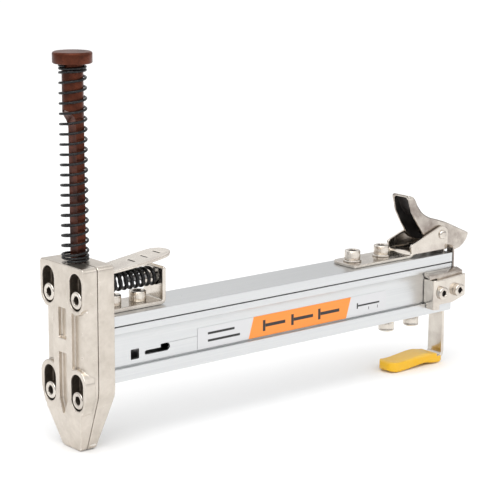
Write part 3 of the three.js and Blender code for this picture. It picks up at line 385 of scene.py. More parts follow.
@once
def brown_oxide(graph):
    colours = finishes()
    _, _, z = graph.place()
    turning = graph.noise(1, 2, 0.5, graph.stretched((60, 60, 5200)))
    patches = graph.noise(130, 4, 0.6).ramp(0.38, 0.66)
    specks = graph.cells(1100).ramp(0.12, 0.04)
    # Where the coils rub the rod it is polished darker.
    rubbed = graph.noise(1, 3, 0.6, graph.stretched((260, 260, 420))).ramp(0.55, 0.72)
    low = z.ramp(0.150, 0.095) * 0.35
    edge_wear_and_highlight = graph.edges(0.64, 0.76)
    body = graph.mix((patches * 0.7 + low).clamped(), colours.oxide, colours.oxide_dark)
    rubbed_tone = graph.mix(rubbed * 0.35, body, (0.055, 0.022, 0.018))
    tone = graph.mix(edge_wear_and_highlight * 0.3, rubbed_tone, (0.26, 0.11, 0.07))
    rough = 0.30 + patches * 0.10 + specks * 0.15 - rubbed * 0.08
    height = turning * 0.5 + specks * 0.4 + patches * 0.2
    return graph.surface(
        Base_Color=tone, Metallic=0.5, Roughness=rough, Specular_IOR_Level=0.12,
        Normal=graph.bump(height, 0.00003, 0.5),
    )


@once
def black_wire(graph):
    colours = finishes()
    draw = graph.noise(1500, 3, 0.6)
    oil = graph.noise(300, 2, 0.5).ramp(0.4, 0.65)
    tone = graph.mix(draw.ramp(0.45, 0.8) * 0.6, colours.spring, (0.075, 0.073, 0.075))
    return graph.surface(
        Base_Color=tone, Metallic=0.7, Roughness=0.36 - oil * 0.14, Normal=graph.bump(draw, 0.00002, 0.4)
    )


@once
def ground_steel(graph):
    colours = finishes()
    lines = graph.noise(1, 3, 0.6, graph.stretched((140, 2400, 2400)))
    stain = graph.noise(260, 3, 0.6).ramp(0.45, 0.75)
    tone = graph.mix(stain * 0.6, colours.steel, (0.27, 0.25, 0.24))
    return graph.surface(
        Base_Color=tone, Metallic=1.0, Roughness=0.24 + lines * 0.14 + stain * 0.1,
        Normal=graph.bump(lines, 0.00003, 0.5),
    )


@once
def black_nylon(graph):
    colours = finishes()
    grain = graph.noise(2400, 3, 0.6)
    flow = graph.noise(150, 2, 0.5)
    tone = graph.mix(flow, colours.nylon, (0.035, 0.035, 0.038))
    return graph.surface(Base_Color=tone, Roughness=0.48 + grain * 0.15, Normal=graph.bump(grain, 0.00005, 0.5))


@once
def yellow_dip(graph):
    colours = finishes()
    _, _, z = graph.place()
    low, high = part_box("hook_grip")
    sag = graph.noise(170, 2, 0.5)
    peel = graph.noise(900, 2, 0.5)
    dust = graph.noise(1500, 3, 0.6).ramp(0.62, 0.75)
    paler = z.ramp(low.z + 0.0048, high.z - 0.0005) * 0.6 + sag.ramp(0.4, 0.7) * 0.15
    body = graph.mix(paler.clamped(), colours.dip, (0.80, 0.54, 0.13))
    tone = graph.mix(dust * 0.12, body, (0.55, 0.36, 0.08))
    return graph.surface(
        Base_Color=tone, Roughness=0.30 + peel * 0.12 + dust * 0.1, Subsurface_Weight=0.08,
        Subsurface_Radius=(0.002, 0.001, 0.0003), Normal=graph.bump(peel + sag * 2, 0.00008, 0.35),
    )


def bar(u, v, left, right, low, high, soft=0.00008):
    """Mask of an upright rectangle on two coordinates, with slightly soft edges."""
    across = u.ramp(left - soft, left + soft) & u.ramp(right + soft, right - soft)
    return across & (v.ramp(low - soft, low + soft) & v.ramp(high + soft, high - soft))


def nail_mark(x, z, left, middle, long, stroke):
    """Mask of a headed nail lying along x."""
    shank = bar(x, z, left + stroke, left + long, middle - stroke / 2, middle + stroke / 2)
    head = bar(x, z, left, left + stroke, middle - stroke * 1.7, middle + stroke * 1.7)
    return shank | head


@once
def label_print(graph):
    """White film, a slanted orange block with nail marks, and plain rules. No lettering."""
    colours = finishes()
    x, _, z = graph.place()
    low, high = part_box("cover_label")
    base, tall = low.z, high.z - low.z
    # The slanted block leans towards the rear as it rises.
    lean = x - (z - base) * 0.30
    block = lean.ramp(0.0960, 0.0962) & lean.ramp(0.1630, 0.1628)
    marks = nail_mark(x, z, 0.1055, base + tall * 0.5, 0.0150, 0.0017)
    for i in range(2):
        marks = marks | nail_mark(x, z, 0.1245 + i * 0.0185, base + tall * 0.5, 0.0150, 0.0017)
    for i in range(2):
        level = base + tall * (0.34 + i * 0.34)
        marks = marks | bar(x, z, 0.0700, 0.0905 - i * 0.0035, level - 0.0006, level + 0.0006)
    outline = nail_mark(x, z, 0.1705, base + tall * 0.5, 0.0165, 0.0009)
    marks = marks | outline
    for i in range(2):
        left = 0.1790 + i * 0.0065
        marks = marks | bar(x, z, left, left + 0.0004, base + tall * 0.22, base + tall * 0.36)
    weave = graph.noise(1800, 3, 0.6)
    grime = graph.noise(120, 3, 0.6).ramp(0.5, 0.8)
    film = graph.mix(grime * 0.12, colours.film, (0.62, 0.62, 0.62))
    orange = graph.mix(weave * 0.25, colours.block, (0.86, 0.30, 0.05))
    tone = graph.mix(block, film, orange)
    printed = graph.mix(marks, tone, colours.ink)
    height = weave * 0.3 + (block | marks) * 0.6
    return graph.surface(
        Base_Color=printed, Roughness=0.42 + weave * 0.12 + grime * 0.08 - block * 0.06,
        Normal=graph.bump(height, 0.00002, 0.4),
    )


@once
def pale_floor(graph):
    settings = bpy.context.scene.nailer_studio
    cloud = graph.noise(0.8, 2, 0.5)
    tone = graph.mix(cloud * 0.3, settings.floor, (0.87, 0.87, 0.87))
    return graph.surface(Base_Color=tone, Roughness=0.75 + cloud * 0.1)


# ---------------------------------------------------------------- mesh helpers


def add_piece(name, mesh, nodes, materials):
    """Puts a finished mesh in the scene in place of its CAD nodes, riding on their body."""
    obj = bpy.data.objects.new(name, mesh)
    bpy.context.scene.collection.objects.link(obj)
    for material in materials:
        mesh.materials.append(material)
    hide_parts(*nodes)
    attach(obj, BODY_OF[nodes[0]])
    return obj


def to_mesh(name, bm, smooth=True):
    bmesh.ops.recalc_face_normals(bm, faces=bm.faces)
    mesh = bpy.data.meshes.new(name)
    bm.to_mesh(mesh)
    bm.free()
    mesh.polygons.foreach_set("use_smooth", [smooth] * len(mesh.polygons))
    return mesh


def cad_copy(name, node):
    """The CAD node's shape as a welded mesh without its flat triangulation."""
    bm = bmesh.new()
    bm.from_mesh(frame["nodes"][node].data)
    bmesh.ops.remove_doubles(bm, verts=bm.verts, dist=2e-6)
    bmesh.ops.dissolve_limit(bm, angle_limit=math.radians(0.8), verts=bm.verts, edges=bm.edges)
    return to_mesh(name, bm, smooth=False)


def apply_modifiers(obj):
    """Turns the object's modifiers into its mesh."""
    graph = bpy.context.evaluated_depsgraph_get()
    materials = list(obj.data.materials)
    made = bpy.data.meshes.new_from_object(obj.evaluated_get(graph))
    made.materials.clear()
    for material in materials:
        made.materials.append(material)
    obj.modifiers.clear()
    obj.data = made
    return obj


def softened(name, node, voxel, passes, material, keep=0.45, extra=()):
    """A CAD node with the rounded edges and filled corners of a casting or pressing."""
    obj = add_piece(name, cad_copy(name, node), [node], [material, *extra])
    remesh = obj.modifiers.new("cells", "REMESH")
    remesh.mode = "VOXEL"
    remesh.voxel_size = voxel
    remesh.use_smooth_shade = True
    smooth = obj.modifiers.new("soften", "SMOOTH")
    smooth.factor = 0.5
    smooth.iterations = passes
    thin = obj.modifiers.new("thin out", "DECIMATE")
    thin.ratio = keep
    apply_modifiers(obj)
    obj.data.polygons.foreach_set("use_smooth", [True] * len(obj.data.polygons))
    return obj


def edge_broken(name, node, width, material, angle=32):
    """A CAD node with crisp flats and narrow broken edges."""
    obj = add_piece(name, cad_copy(name, node), [node], [material])
    obj.data.polygons.foreach_set("use_smooth", [True] * len(obj.data.polygons))
    bevel = obj.modifiers.new("broken edges", "BEVEL")
    bevel.width = width
    bevel.segments = 2
    bevel.limit_method = "ANGLE"
    bevel.angle_limit = math.radians(angle)
    bevel.use_clamp_overlap = False
    bevel.miter_outer = "MITER_ARC"
    weigh = obj.modifiers.new("flat faces", "WEIGHTED_NORMAL")
    weigh.keep_sharp = True
    weigh.weight = 80
    return apply_modifiers(obj)


def hexagon(apothem):
    """Radius of a hexagon with that apothem at an angle."""

    def radius(angle):
        within = (angle + math.pi / 6) % (math.pi / 3) - math.pi / 6
        return apothem / math.cos(within)

    return radius


def knurl(outer, depth, teeth):
    """Radius of a knurled barrel at an angle."""
    return lambda angle: outer - depth * (0.5 + 0.5 * math.cos(angle * teeth))


def turned(name, rings, place, steps):
    """Mesh of stacked rings about a local z axis. A ring is (radius or radius at an angle, height)."""
    bm = bmesh.new()
    rows = []
    for radius, height in rings:
        radius_at = radius if callable(radius) else (lambda angle, r=radius: r)
        row = []
        for i in range(steps):
            angle = 2 * math.pi * i / steps
            r = radius_at(angle)
            row.append(bm.verts.new(place @ Vector((r * math.cos(angle), r * math.sin(angle), height))))
        rows.append(row)
    for below, above in zip(rows, rows[1:]):
        for i in range(steps):
            j = (i + 1) % steps
            bm.faces.new((below[i], below[j], above[j], above[i]))
    bm.faces.new(list(reversed(rows[0])))
    bm.faces.new(rows[-1])
    return to_mesh(name, bm)


def facing(origin, direction):
    """Matrix that stands a local z axis at a point, along a direction."""
    turn = Vector((0, 0, 1)).rotation_difference(Vector(direction)).to_matrix().to_4x4()
    return Matrix.Translation(origin) @ turn


def sharpen(obj, degrees):
    """Smooth shading that breaks at edges sharper than the angle."""
    bm = bmesh.new()
    bm.from_mesh(obj.data)
    limit = math.radians(degrees)
    for edge in bm.edges:
        if len(edge.link_faces) == 2:
            edge.smooth = edge.calc_face_angle(0) < limit
    bm.to_mesh(obj.data)
    bm.free()
    return obj


def repaint(obj, wanted, index=1):
    """Gives another of the object's materials to the faces that a test picks."""
    picked = [face for face in obj.data.polygons if wanted(face)]
    for face in picked:
        face.material_index = index
    if not picked:
        raise RuntimeError(f"{obj.name} has no face to repaint")


def tube(name, points, radius, sides=12):
    """Mesh of a round wire along a line of points, with flat ends."""
    bm = bmesh.new()
    rows = []
    side = (points[1] - points[0]).orthogonal()
    for i, point in enumerate(points):
        ahead = points[min(i + 1, len(points) - 1)]
        behind = points[max(i - 1, 0)]
        along = (ahead - behind).normalized()
        side = (side - along * side.dot(along)).normalized()
        up = along.cross(side)
        angles = [2 * math.pi * k / sides for k in range(sides)]
        rows.append([bm.verts.new(point + (side * math.cos(a) + up * math.sin(a)) * radius) for a in angles])
    for before, after in zip(rows, rows[1:]):
        for k in range(sides):
            bm.faces.new((before[k], before[(k + 1) % sides], after[(k + 1) % sides], after[k]))
    bm.faces.new(list(reversed(rows[0])))
    bm.faces.new(rows[-1])
    return to_mesh(name, bm)


def coil(radius, turns, height_at, place, steps):
    """Points of a coil about a local z axis."""
    points = []
    for i in range(int(turns * steps) + 1):
        angle = 2 * math.pi * i / steps
        points.append(place @ Vector((radius * math.cos(angle), radius * math.sin(angle), height_at(i / steps))))
    return points


def span(node):
    """Middle and size of a CAD node's box."""
    low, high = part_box(node)
    return (low + high) / 2, high - low


# ---------------------------------------------------------------- pieces


def shapes():
    return bpy.context.scene.nailer_shapes


class NAILER_OT_nose(Operator):
    """Soften the two cast halves of the nose"""

    bl_idname = "nailer.nose"
    bl_label = "Nose halves"

    def execute(self, context):
        size = shapes()
        front = softened(
            "front_casting", "nose_front_cover", size.casting_voxel, size.casting_passes, cast_nickel(),
            keep=0.6, extra=(recess_shade(),),
        )
        passes = size.casting_passes
        softened("rear_casting", "nose_rear_body", size.casting_voxel, passes, cast_nickel(), keep=0.6)
        # The pockets' walls and floors get the painted-shade material.
        repaint(front, self.in_pocket)
        return {"FINISHED"}

    # Middle of each screw pocket's lower arc, the straight travel above it and its radius.
    pockets = [(side * 11.4 * MM, z * MM) for side in (-1, 1) for z in (75.2, 26.95)]
    travel, radius = 7.6 * MM, 5.05 * MM

    def in_pocket(self, face):
        """True on a pocket's walls and floor."""
        if face.center.x < -7.3 * MM or face.center.x > -2.6 * MM:
            return False
        for y, z in self.pockets:
            rise = min(max(face.center.z, z), z + self.travel)
            if math.hypot(face.center.y - y, face.center.z - rise) < self.radius + 0.25 * MM:
                return True
        return False


SCREWS = {
    "nose_screw": (4, Vector((-1, 0, 0)), 4.25 * MM, 5 * MM, 2.0 * MM, 2.5 * MM),
    "catch_bracket_screw": (2, Vector((0, 0, 1)), 4.25 * MM, 5 * MM, 2.0 * MM, 2.5 * MM),
    "latch_base_screw": (2, Vector((0, 0, 1)), 4.25 * MM, 5 * MM, 2.0 * MM, 2.5 * MM),
    "hook_screw": (2, Vector((0, 0, -1)), 4.25 * MM, 5 * MM, 2.0 * MM, 2.5 * MM),
    "cover_bracket_screw": (2, Vector((0, -1, 0)), 3.5 * MM, 2.8 * MM, 1.5 * MM, 1.95 * MM),
}


class NAILER_OT_screws(Operator):
    """Turn the knurled socket-head screws"""

    bl_idname = "nailer.screws"
    bl_label = "Socket screws"

    def execute(self, context):
        for family, (count, direction, head, tall, socket, shank) in SCREWS.items():
            for i in range(1, count + 1):
                self.screw(f"{family}_{i}", direction, head, tall, socket, shank, twist=0.4 + i * 1.7)
        return {"FINISHED"}

    def screw(self, node, direction, head, tall, socket, shank, twist):
        middle, size = span(node)
        long = abs(size.dot(direction))
        top = middle + direction * (long / 2)
        seat = top - direction * tall
        depth = tall * 0.55
        barrel = knurl(head, 0.16 * MM, 32)
        rings = [
            (0.6 * shank, -(long - tall)),
            (shank * 0.86, -(long - tall)),
            (shank, -(long - tall) + 0.4 * MM),
            (shank, 0),
            (head * 0.97, 0),
            (barrel, 0.15 * MM),
            (barrel, tall * 0.52),
            (barrel, tall - 0.75 * MM),
            (head, tall - 0.6 * MM),
            (head - 0.12 * MM, tall - 0.28 * MM),
            (head - 0.45 * MM, tall - 0.05 * MM),
            (head - 0.75 * MM, tall),
            (socket * 1.30, tall),
            (socket * 1.22, tall - 0.06 * MM),
            (hexagon(socket), tall - 0.34 * MM),
            (hexagon(socket), tall - depth),
            (socket * 0.6, tall - depth),
            (0.05 * MM, tall - depth - 0.5 * MM),
        ]
        place = facing(seat, direction) @ Matrix.Rotation(twist, 4, "Z")
        mesh = turned(node + "_turned", rings, place, shapes().turn_steps)
        # The sockets get painted shade: near-black in the cover's screws, dark brown in the others.
        inner = inner_shade() if node.startswith("cover") else recess_shade()
        obj = sharpen(add_piece(node + "_turned", mesh, [node], [nickel_screw(), inner]), 38)
        upright = place.inverted()

        def in_socket(face):
            x, y, z = upright @ face.center
            return math.hypot(x, y) < socket * 1.18 and tall - depth * 1.2 < z < tall - 0.3 * MM

        repaint(obj, in_socket)


class NAILER_OT_washers(Operator):
    """Turn the washers under the rail's screws"""

    bl_idname = "nailer.washers"
    bl_label = "Washers"

    def execute(self, context):
        for family, bore in (("latch_base_washer", 2.8 * MM), ("hook_washer", 2.8 * MM)):
            for i in (1, 2):
                self.washer(f"{family}_{i}", bore)
        return {"FINISHED"}

    def washer(self, node, bore):
        middle, size = span(node)
        half, outer, ease = size.z / 2, size.x / 2, 0.18 * MM
        profile = [
            (bore, -half + ease), (bore + ease, -half), (outer - ease, -half), (outer, -half + ease),
            (outer, half - ease), (outer - ease, half), (bore + ease, half), (bore, half - ease),
        ]
        bm = bmesh.new()
        steps = shapes().turn_steps
        rows = [
            [
                bm.verts.new(middle + Vector((r * math.cos(a), r * math.sin(a), h)))
                for a in (2 * math.pi * i / steps for i in range(steps))
            ]
            for r, h in profile
        ]
        for below, above in zip(rows, rows[1:] + rows[:1]):
            for i in range(steps):
                bm.faces.new((below[i], below[(i + 1) % steps], above[(i + 1) % steps], above[i]))
        obj = add_piece(node + "_turned", to_mesh(node, bm), [node], [nickel_screw()])
        sharpen(obj, 40)


PINS = {
    "nose_dowel_1": "X",
    "nose_dowel_2": "X",
    "blade_pin": "X",
    "catch_pivot_pin": "Y",
    "pusher_roll_pin": "Y",
}


class NAILER_OT_pins(Operator):
    """Turn the plain pins and dowels, with chamfered ends"""

    bl_idname = "nailer.pins"
    bl_label = "Pins and dowels"

    def execute(self, context):
        for node, axis in PINS.items():
            middle, size = span(node)
            along = AXES[axis]
            half = size.dot(along) / 2
            radius = min(size) / 2
            ease = radius * 0.25
            rings = [
                (radius - ease, -half), (radius, -half + ease), (radius, 0), (radius, half - ease), (radius - ease, half),
            ]
            mesh = turned(node + "_turned", rings, facing(middle, along), shapes().turn_steps // 2)
            sharpen(add_piece(node + "_turned", mesh, [node], [ground_steel()]), 40)
        return {"FINISHED"}


class NAILER_OT_striker(Operator):
    """Build the milled striker rod, its cap and the driver blade"""

    bl_idname = "nailer.striker"
    bl_label = "Striker"

    def execute(self, context):
        edge_broken("milled_rod", "striker_rod", 0.12 * MM, brown_oxide(), angle=28)
        edge_broken("drive_blade", "driver_blade", 0.1 * MM, ground_steel())
        middle, size = span("striker_cap")
        radius, half = size.x / 2, size.z / 2
        rings = [(0.3 * radius, -half), (radius - 0.5 * MM, -half), (radius, -half + 0.45 * MM)]
        rings += [(radius, half - 1.1 * MM)]
        corner = 1.1 * MM
        for i in range(1, 7):
            angle = math.pi / 2 * i / 6
            rings.append((radius - corner * (1 - math.cos(angle)), half - corner * (1 - math.sin(angle)) - 0.15 * MM))
        rings += [(radius * 0.6, half - 0.08 * MM), (radius * 0.3, half - 0.02 * MM), (0.05 * MM, half)]
        mesh = turned("struck_cap", rings, Matrix.Translation(middle), shapes().turn_steps)
        sharpen(add_piece("struck_cap", mesh, ["striker_cap"], [brown_oxide()]), 50)
        return {"FINISHED"}


class NAILER_OT_springs(Operator):
    """Wind the return, catch and torsion springs"""

    bl_idname = "nailer.springs"
    bl_label = "Springs"

    def execute(self, context):
        self.return_spring()
        self.catch_spring()
        self.torsion_spring()
        return {"FINISHED"}

    def return_spring(self):
        low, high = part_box("return_spring")
        wire, dead, live = 0.62 * MM, 2, 18
        radius = (high.x - low.x) / 2 - wire
        start, end = low.z + wire, high.z - wire
        dead_pitch = wire * 2 + 0.15 * MM
        live_pitch = (end - start - 2 * dead * dead_pitch) / live

        def height_at(turn):
            # The coil opens and closes over half a turn at each end of its live part.
            inside = min(max(turn - dead, 0), live)
            return start + (turn - inside) * dead_pitch + inside * live_pitch

        place = Matrix.Rotation(math.radians(200), 4, "Z")
        points = coil(radius, dead * 2 + live, height_at, place, shapes().coil_steps)
        obj = add_piece("return_coil", tube("return_coil", points, wire), ["return_spring"], [black_wire()])
        travel = next(j for j in frame["joints"] if j["name"] == "striker_slide")["range_m"][1]
        keep = 1 - travel / (high.z - low.z)
        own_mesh(obj)

    def catch_spring(self):
        low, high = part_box("catch_spring")
        wire, turns = 0.93 * MM, 9
        radius = (high.z - low.z) / 2 - wire
        start, end = low.x + wire, high.x - wire
        middle = (low.z + high.z) / 2
        place = Matrix.Translation((0, 0, middle)) @ Matrix.Rotation(math.pi / 2, 4, "Y")
        points = coil(radius, turns, lambda turn: start + (end - start) * turn / turns, place, shapes().coil_steps)
        obj = add_piece("catch_coil", tube("catch_coil", points, wire), ["catch_spring"], [black_wire()])
        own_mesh(obj)

    def torsion_spring(self):
        """Coil on the rivet, with one leg forward on the base and one under the lever's skin."""
        pivot = Vector((235.5, 0, 74.7)) * MM
        radius, half, turns = 3.1 * MM, 2.6 * MM, 3.5
        # The winding starts below the rivet and ends above it.
        place = Matrix.Translation(pivot) @ Matrix.Rotation(math.pi / 2, 4, "X")

        def height_at(turn):
            return half - 2 * half * turn / turns

        steps = shapes().coil_steps
        winding = coil(radius, turns, height_at, place @ Matrix.Rotation(-math.pi / 2, 4, "Z"), steps)
        front = winding[0] + Vector((-9, 0, -1.6)) * MM
        rear = winding[-1] + Vector((-6.5, 0, 1.2)) * MM
        points = [front] + winding + [rear]
        obj = add_piece("latch_coil", tube("latch_coil", points, 0.45 * MM), ["latch_torsion_spring"], [black_wire()])
        sharpen(obj, 50)


class NAILER_OT_rail(Operator):
    """Finish the extruded rail, its nail guide and end plug"""

    bl_idname = "nailer.rail"
    bl_label = "Magazine rail"

    def execute(self, context):
        edge_broken("magazine_rail", "rail", shapes().edge, anodised())
        edge_broken("guide_bar", "nail_guide", 0.15 * MM, ground_steel())
        edge_broken("end_plug", "rail_end_plug", 0.6 * MM, black_nylon())
        return {"FINISHED"}


class NAILER_OT_side_cover(Operator):
    """Finish the sliding side cover and print its label"""

    bl_idname = "nailer.side_cover"
    bl_label = "Side cover"

    def execute(self, context):
        edge_broken("sliding_cover", "side_cover", shapes().edge, anodised())
        low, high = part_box("cover_label")
        bm = bmesh.new()
        corner = 0.5 * MM
        points = []
        for cx, cz, start in (
            (high.x - corner, low.z + corner, -90), (high.x - corner, high.z - corner, 0),
            (low.x + corner, high.z - corner, 90), (low.x + corner, low.z + corner, 180),
        ):
            for i in range(6):
                angle = math.radians(start + i * 18)
                points.append((cx + corner * math.cos(angle), cz + corner * math.sin(angle)))
        outer = [bm.verts.new((x, low.y, z)) for x, z in points]
        inner = [bm.verts.new((x, high.y, z)) for x, z in points]
        bm.faces.new(outer)
        bm.faces.new(list(reversed(inner)))
        for i in range(len(points)):
            j = (i + 1) % len(points)
            bm.faces.new((outer[i], outer[j], inner[j], inner[i]))
        add_piece("printed_label", to_mesh("printed_label", bm, smooth=False), ["cover_label"], [label_print()])
        return {"FINISHED"}


class NAILER_OT_cover_bracket(Operator):
    """Finish the cover's end plate, folded bracket and packing"""

    bl_idname = "nailer.cover_bracket"
    bl_label = "Cover bracket"

    def execute(self, context):
        size = shapes()
        softened("end_plate", "cover_end_plate", size.sheet_voxel, size.sheet_passes, nickel_pressed())
        softened("folded_bracket", "cover_bracket", size.sheet_voxel, size.sheet_passes, nickel_sheet())
        edge_broken("bracket_packing", "cover_bracket_packing", 0.3 * MM, nickel_sheet())
        return {"FINISHED"}


class NAILER_OT_pusher(Operator):
    """Finish the nail pusher and wind its flat spring roll"""

    bl_idname = "nailer.pusher"
    bl_label = "Nail pusher"

    def execute(self, context):
        edge_broken("nail_pusher", "pusher", 0.2 * MM, ground_steel())
        middle, size = span("pusher_spring_roll")
        outer, half = size.x / 2, size.y / 2
        bore, tape = 1.7 * MM, 0.25 * MM
        # Windings show as shallow steps on both faces of the roll.
        count = int((outer - bore) / (tape * 2))
        face = []
        for i in range(count):
            radius = bore + i * tape * 2
            face += [(radius, half), (radius + tape, half), (radius + tape * 1.2, half - 0.12 * MM)]
            face += [(radius + tape * 1.8, half - 0.12 * MM)]
        face.append((outer, half - 0.1 * MM))
        profile = face + [(r, -h) for r, h in reversed(face)]
        rings = profile + [profile[0]]
        place = facing(middle, AXES["Y"])
        bm = bmesh.new()
        steps = shapes().turn_steps // 2
        rows = [
            [
                bm.verts.new(place @ Vector((r * math.cos(a), r * math.sin(a), h)))
                for a in (2 * math.pi * i / steps for i in range(steps))
            ]
            for r, h in rings[:-1]
        ]
        for below, above in zip(rows, rows[1:] + rows[:1]):
            for i in range(steps):
                bm.faces.new((below[i], below[(i + 1) % steps], above[(i + 1) % steps], above[i]))
        obj = add_piece("spring_roll", to_mesh("spring_roll", bm), ["pusher_spring_roll"], [ground_steel()])
        sharpen(obj, 40)
        return {"FINISHED"}


class NAILER_OT_catch(Operator):
    """Finish the front catch: bracket, tongue, plunger and spring guide"""

    bl_idname = "nailer.catch"
    bl_label = "Front catch"

    def execute(self, context):
        size = shapes()
        softened("catch_frame", "catch_bracket", size.sheet_voxel, size.sheet_passes, nickel_sheet())
        softened("catch_tongue", "catch_lever", size.sheet_voxel, size.sheet_passes, nickel_tongue())
        self.headed_pin("plunger_pin", "catch_plunger", 1.4 * MM, 1.2 * MM)
        self.headed_pin("guide_pin", "catch_spring_guide", 1.5 * MM, 1.1 * MM)
        return {"FINISHED"}

    def headed_pin(self, name, node, stem, thick):
        """Pin along +X with its head at the far end."""
        low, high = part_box(node)
        middle, size = span(node)
        head, long, ease = size.z / 2, size.x, 0.3 * MM
        rings = [
            (stem - ease, 0), (stem, ease), (stem, long - thick), (head - 0.1 * MM, long - thick),
            (head, long - thick + 0.1 * MM), (head, long - ease), (head - ease, long),
        ]
        place = facing(Vector((low.x, middle.y, middle.z)), AXES["X"])
        mesh = turned(name, rings, place, shapes().turn_steps // 2)
        sharpen(add_piece(name, mesh, [node], [ground_steel()]), 40)


class NAILER_OT_latch(Operator):
    """Finish the rear latch: base, pressed lever and rivet"""

    bl_idname = "nailer.latch"
    bl_label = "Rear latch"

    def execute(self, context):
        size = shapes()
        softened("latch_plate", "latch_base", size.sheet_voxel, size.sheet_passes, nickel_sheet())
        lever = softened(
            "pressed_lever", "latch_lever", size.sheet_voxel, size.sheet_passes + 3, nickel_pressed(),
            keep=0.6, extra=(inner_shade(),),
        )
        self.low, self.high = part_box("latch_lever")
        # The faces in the lever's channel get the painted-shade material.
        repaint(lever, self.in_channel)
        middle, size = span("latch_rivet")
        shank, head, end = 1.8 * MM, size.x / 2, size.y / 2
        face = end - 1.1 * MM
        half = [(shank, 0), (shank, face), (head, face), (head, end - 0.5 * MM), (head - 0.3 * MM, end - 0.15 * MM)]
        half += [(head * 0.5, end), (0.05 * MM, end)]
        rings = [(r, -h) for r, h in reversed(half[1:])] + half
        mesh = turned("rivet", rings, facing(middle, AXES["Y"]), shapes().turn_steps // 2)
        sharpen(add_piece("rivet", mesh, ["latch_rivet"], [nickel_screw()]), 45)
        return {"FINISHED"}

    def in_channel(self, face):
        """True on the faces that look into the lever's channel."""
        x, y, z = face.center
        half = self.inner_half_width(z)
        cheek = y * face.normal.y < 0 and abs(face.normal.y) > 0.5 and abs(y) < half + 0.3 * MM
        skin = (face.normal.x < -0.35 or face.normal.z < -0.4) and abs(y) < half - 0.1 * MM
        return (cheek or skin) and x > self.low.x + 0.8 * MM and z < self.high.z - 1.0 * MM

    def inner_half_width(self, z):
        """Half the channel's clear width: even below, then narrowing to the thumb end."""
        dull_and_shade_share = min(max((z - 80 * MM) / (14 * MM), 0), 1)
        return (6.3 - dull_and_shade_share) * MM


class NAILER_OT_hook(Operator):
    """Finish the bench hook's strap and dipped grip"""

    bl_idname = "nailer.hook"
    bl_label = "Bench hook"

    def execute(self, context):
        size = shapes()
        softened("bent_strap", "hook_strap", size.sheet_voxel, size.sheet_passes + 2, nickel_sheet())
        softened("dipped_grip", "hook_grip", 0.34 * MM, 14, yellow_dip(), keep=0.5)
        return {"FINISHED"}


# ---------------------------------------------------------------- stage


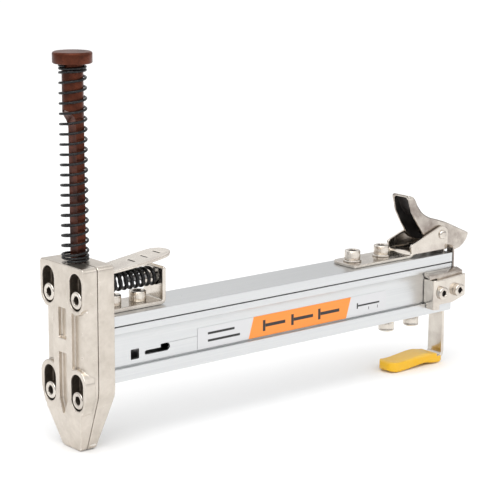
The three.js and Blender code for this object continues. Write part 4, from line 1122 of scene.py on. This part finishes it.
class NAILER_OT_studio(Operator):
    """Set the pale floor, soft lights and camera"""

    bl_idname = "nailer.studio"
    bl_label = "Studio"

    # Camera place and angles, with the lens for a 36 mm sensor.
    place = Vector((-0.4404, -0.6568, 0.2695))
    yaw, pitch, roll = math.radians(50.24), math.radians(12.39), math.radians(0.36)
    lens = 124.3

    def execute(self, context):
        self.floor()
        self.camera(context.scene)
        settings = context.scene.nailer_studio
        middle = (CAD_BOX[0] + CAD_BOX[1]) / 2
        self.wash(settings.wash)
        self.light("key", settings.key, 0.9, 0.9, middle + Vector((-0.75, -0.45, 0.95)), middle)
        self.light("side", settings.side, 1.4, 0.7, middle + Vector((0.55, -1.05, 0.55)), middle)
        self.light("back", settings.side * 0.6, 1.0, 0.6, middle + Vector((0.3, 1.0, 0.8)), middle)
        self.surroundings(context.scene, settings)
        context.scene.view_settings.view_transform = "Standard"
        return {"FINISHED"}

    def floor(self):
        bm = bmesh.new()
        bmesh.ops.create_grid(bm, x_segments=8, y_segments=8, size=9)
        bmesh.ops.translate(bm, verts=bm.verts, vec=(0, 0, CAD_BOX[0].z - 0.0002))
        mesh = to_mesh("pale_floor", bm)
        mesh.materials.append(pale_floor())
        obj = bpy.data.objects.new("pale_floor", mesh)
        bpy.context.scene.collection.objects.link(obj)

    def camera(self, scene):
        data = bpy.data.cameras.new("view")
        data.lens = self.lens
        data.sensor_width = 36
        data.clip_start, data.clip_end = 0.01, 40
        forward = Vector((
            math.cos(self.yaw) * math.cos(self.pitch), math.sin(self.yaw) * math.cos(self.pitch), -math.sin(self.pitch),
        ))
        right = Vector((math.sin(self.yaw), -math.cos(self.yaw), 0))
        up = right.cross(forward)
        turned_right = right * math.cos(self.roll) + up * math.sin(self.roll)
        turned_up = up * math.cos(self.roll) - right * math.sin(self.roll)
        basis = Matrix((turned_right, turned_up, -forward)).transposed().to_4x4()
        camera = bpy.data.objects.new("view", data)
        camera.matrix_world = Matrix.Translation(self.place) @ basis
        scene.collection.objects.link(camera)
        scene.camera = camera

    def light(self, name, power, wide, high, at, towards):
        data = bpy.data.lights.new(name, "AREA")
        data.shape, data.size, data.size_y, data.energy = "RECTANGLE", wide, high, power
        obj = bpy.data.objects.new(name, data)
        obj.location = at
        obj.rotation_euler = (towards - at).to_track_quat("-Z", "Y").to_euler()
        bpy.context.scene.collection.objects.link(obj)

    def wash(self, strength):
        """Broad even light from high on the camera's side."""
        data = bpy.data.lights.new("wash", "SUN")
        data.energy, data.angle = strength, math.radians(70)
        obj = bpy.data.objects.new("wash", data)
        obj.rotation_euler = Vector((0.35, 0.45, -1)).to_track_quat("-Z", "Y").to_euler()
        bpy.context.scene.collection.objects.link(obj)

    def surroundings(self, scene, settings):
        """Pale sky over a dark band at the horizon, so that metal has something to show."""
        world = bpy.data.worlds.new("surroundings")
        graph = Graph(world, "Background", "Generated")
        _, _, up = graph.place()
        tone = graph.mix(up.ramp(0.02, 0.22), settings.horizon, settings.zenith)
        graph.surface(Color=tone, Strength=settings.sky)
        scene.world = world


# ---------------------------------------------------------------- add-on


PIECES = (
    NAILER_OT_nose,
    NAILER_OT_screws,
    NAILER_OT_washers,
    NAILER_OT_pins,
    NAILER_OT_striker,
    NAILER_OT_springs,
    NAILER_OT_rail,
    NAILER_OT_side_cover,
    NAILER_OT_cover_bracket,
    NAILER_OT_pusher,
    NAILER_OT_catch,
    NAILER_OT_latch,
    NAILER_OT_hook,
    NAILER_OT_studio,
)


class NAILER_PT_panel(Panel):
    """Sizes, colours and pieces of the nailer"""

    bl_label = "Flooring nailer"
    bl_idname = "NAILER_PT_panel"
    bl_space_type = "VIEW_3D"
    bl_region_type = "UI"
    bl_category = "Nailer"

    def draw(self, context):
        for group in (context.scene.nailer_finishes, context.scene.nailer_shapes, context.scene.nailer_studio):
            box = self.layout.box()
            for key in group.__annotations__:
                box.prop(group, key)
        for piece in PIECES:
            self.layout.operator(piece.bl_idname)


GROUPS = {"nailer_finishes": NailerFinishes, "nailer_shapes": NailerShapes, "nailer_studio": NailerStudio}


def register():
    for group in GROUPS.values():
        bpy.utils.register_class(group)
    for name, group in GROUPS.items():
        setattr(bpy.types.Scene, name, PointerProperty(type=group))
    for operator in PIECES:
        bpy.utils.register_class(operator)
    bpy.utils.register_class(NAILER_PT_panel)


def unregister():
    bpy.utils.unregister_class(NAILER_PT_panel)
    for operator in reversed(PIECES):
        bpy.utils.unregister_class(operator)
    for name, group in GROUPS.items():
        delattr(bpy.types.Scene, name)
        bpy.utils.unregister_class(group)


def main():
    register()
    for piece in PIECES:
        category, name = piece.bl_idname.split(".")
        getattr(getattr(bpy.ops, category), name)()


if __name__ == "__main__":
    main()
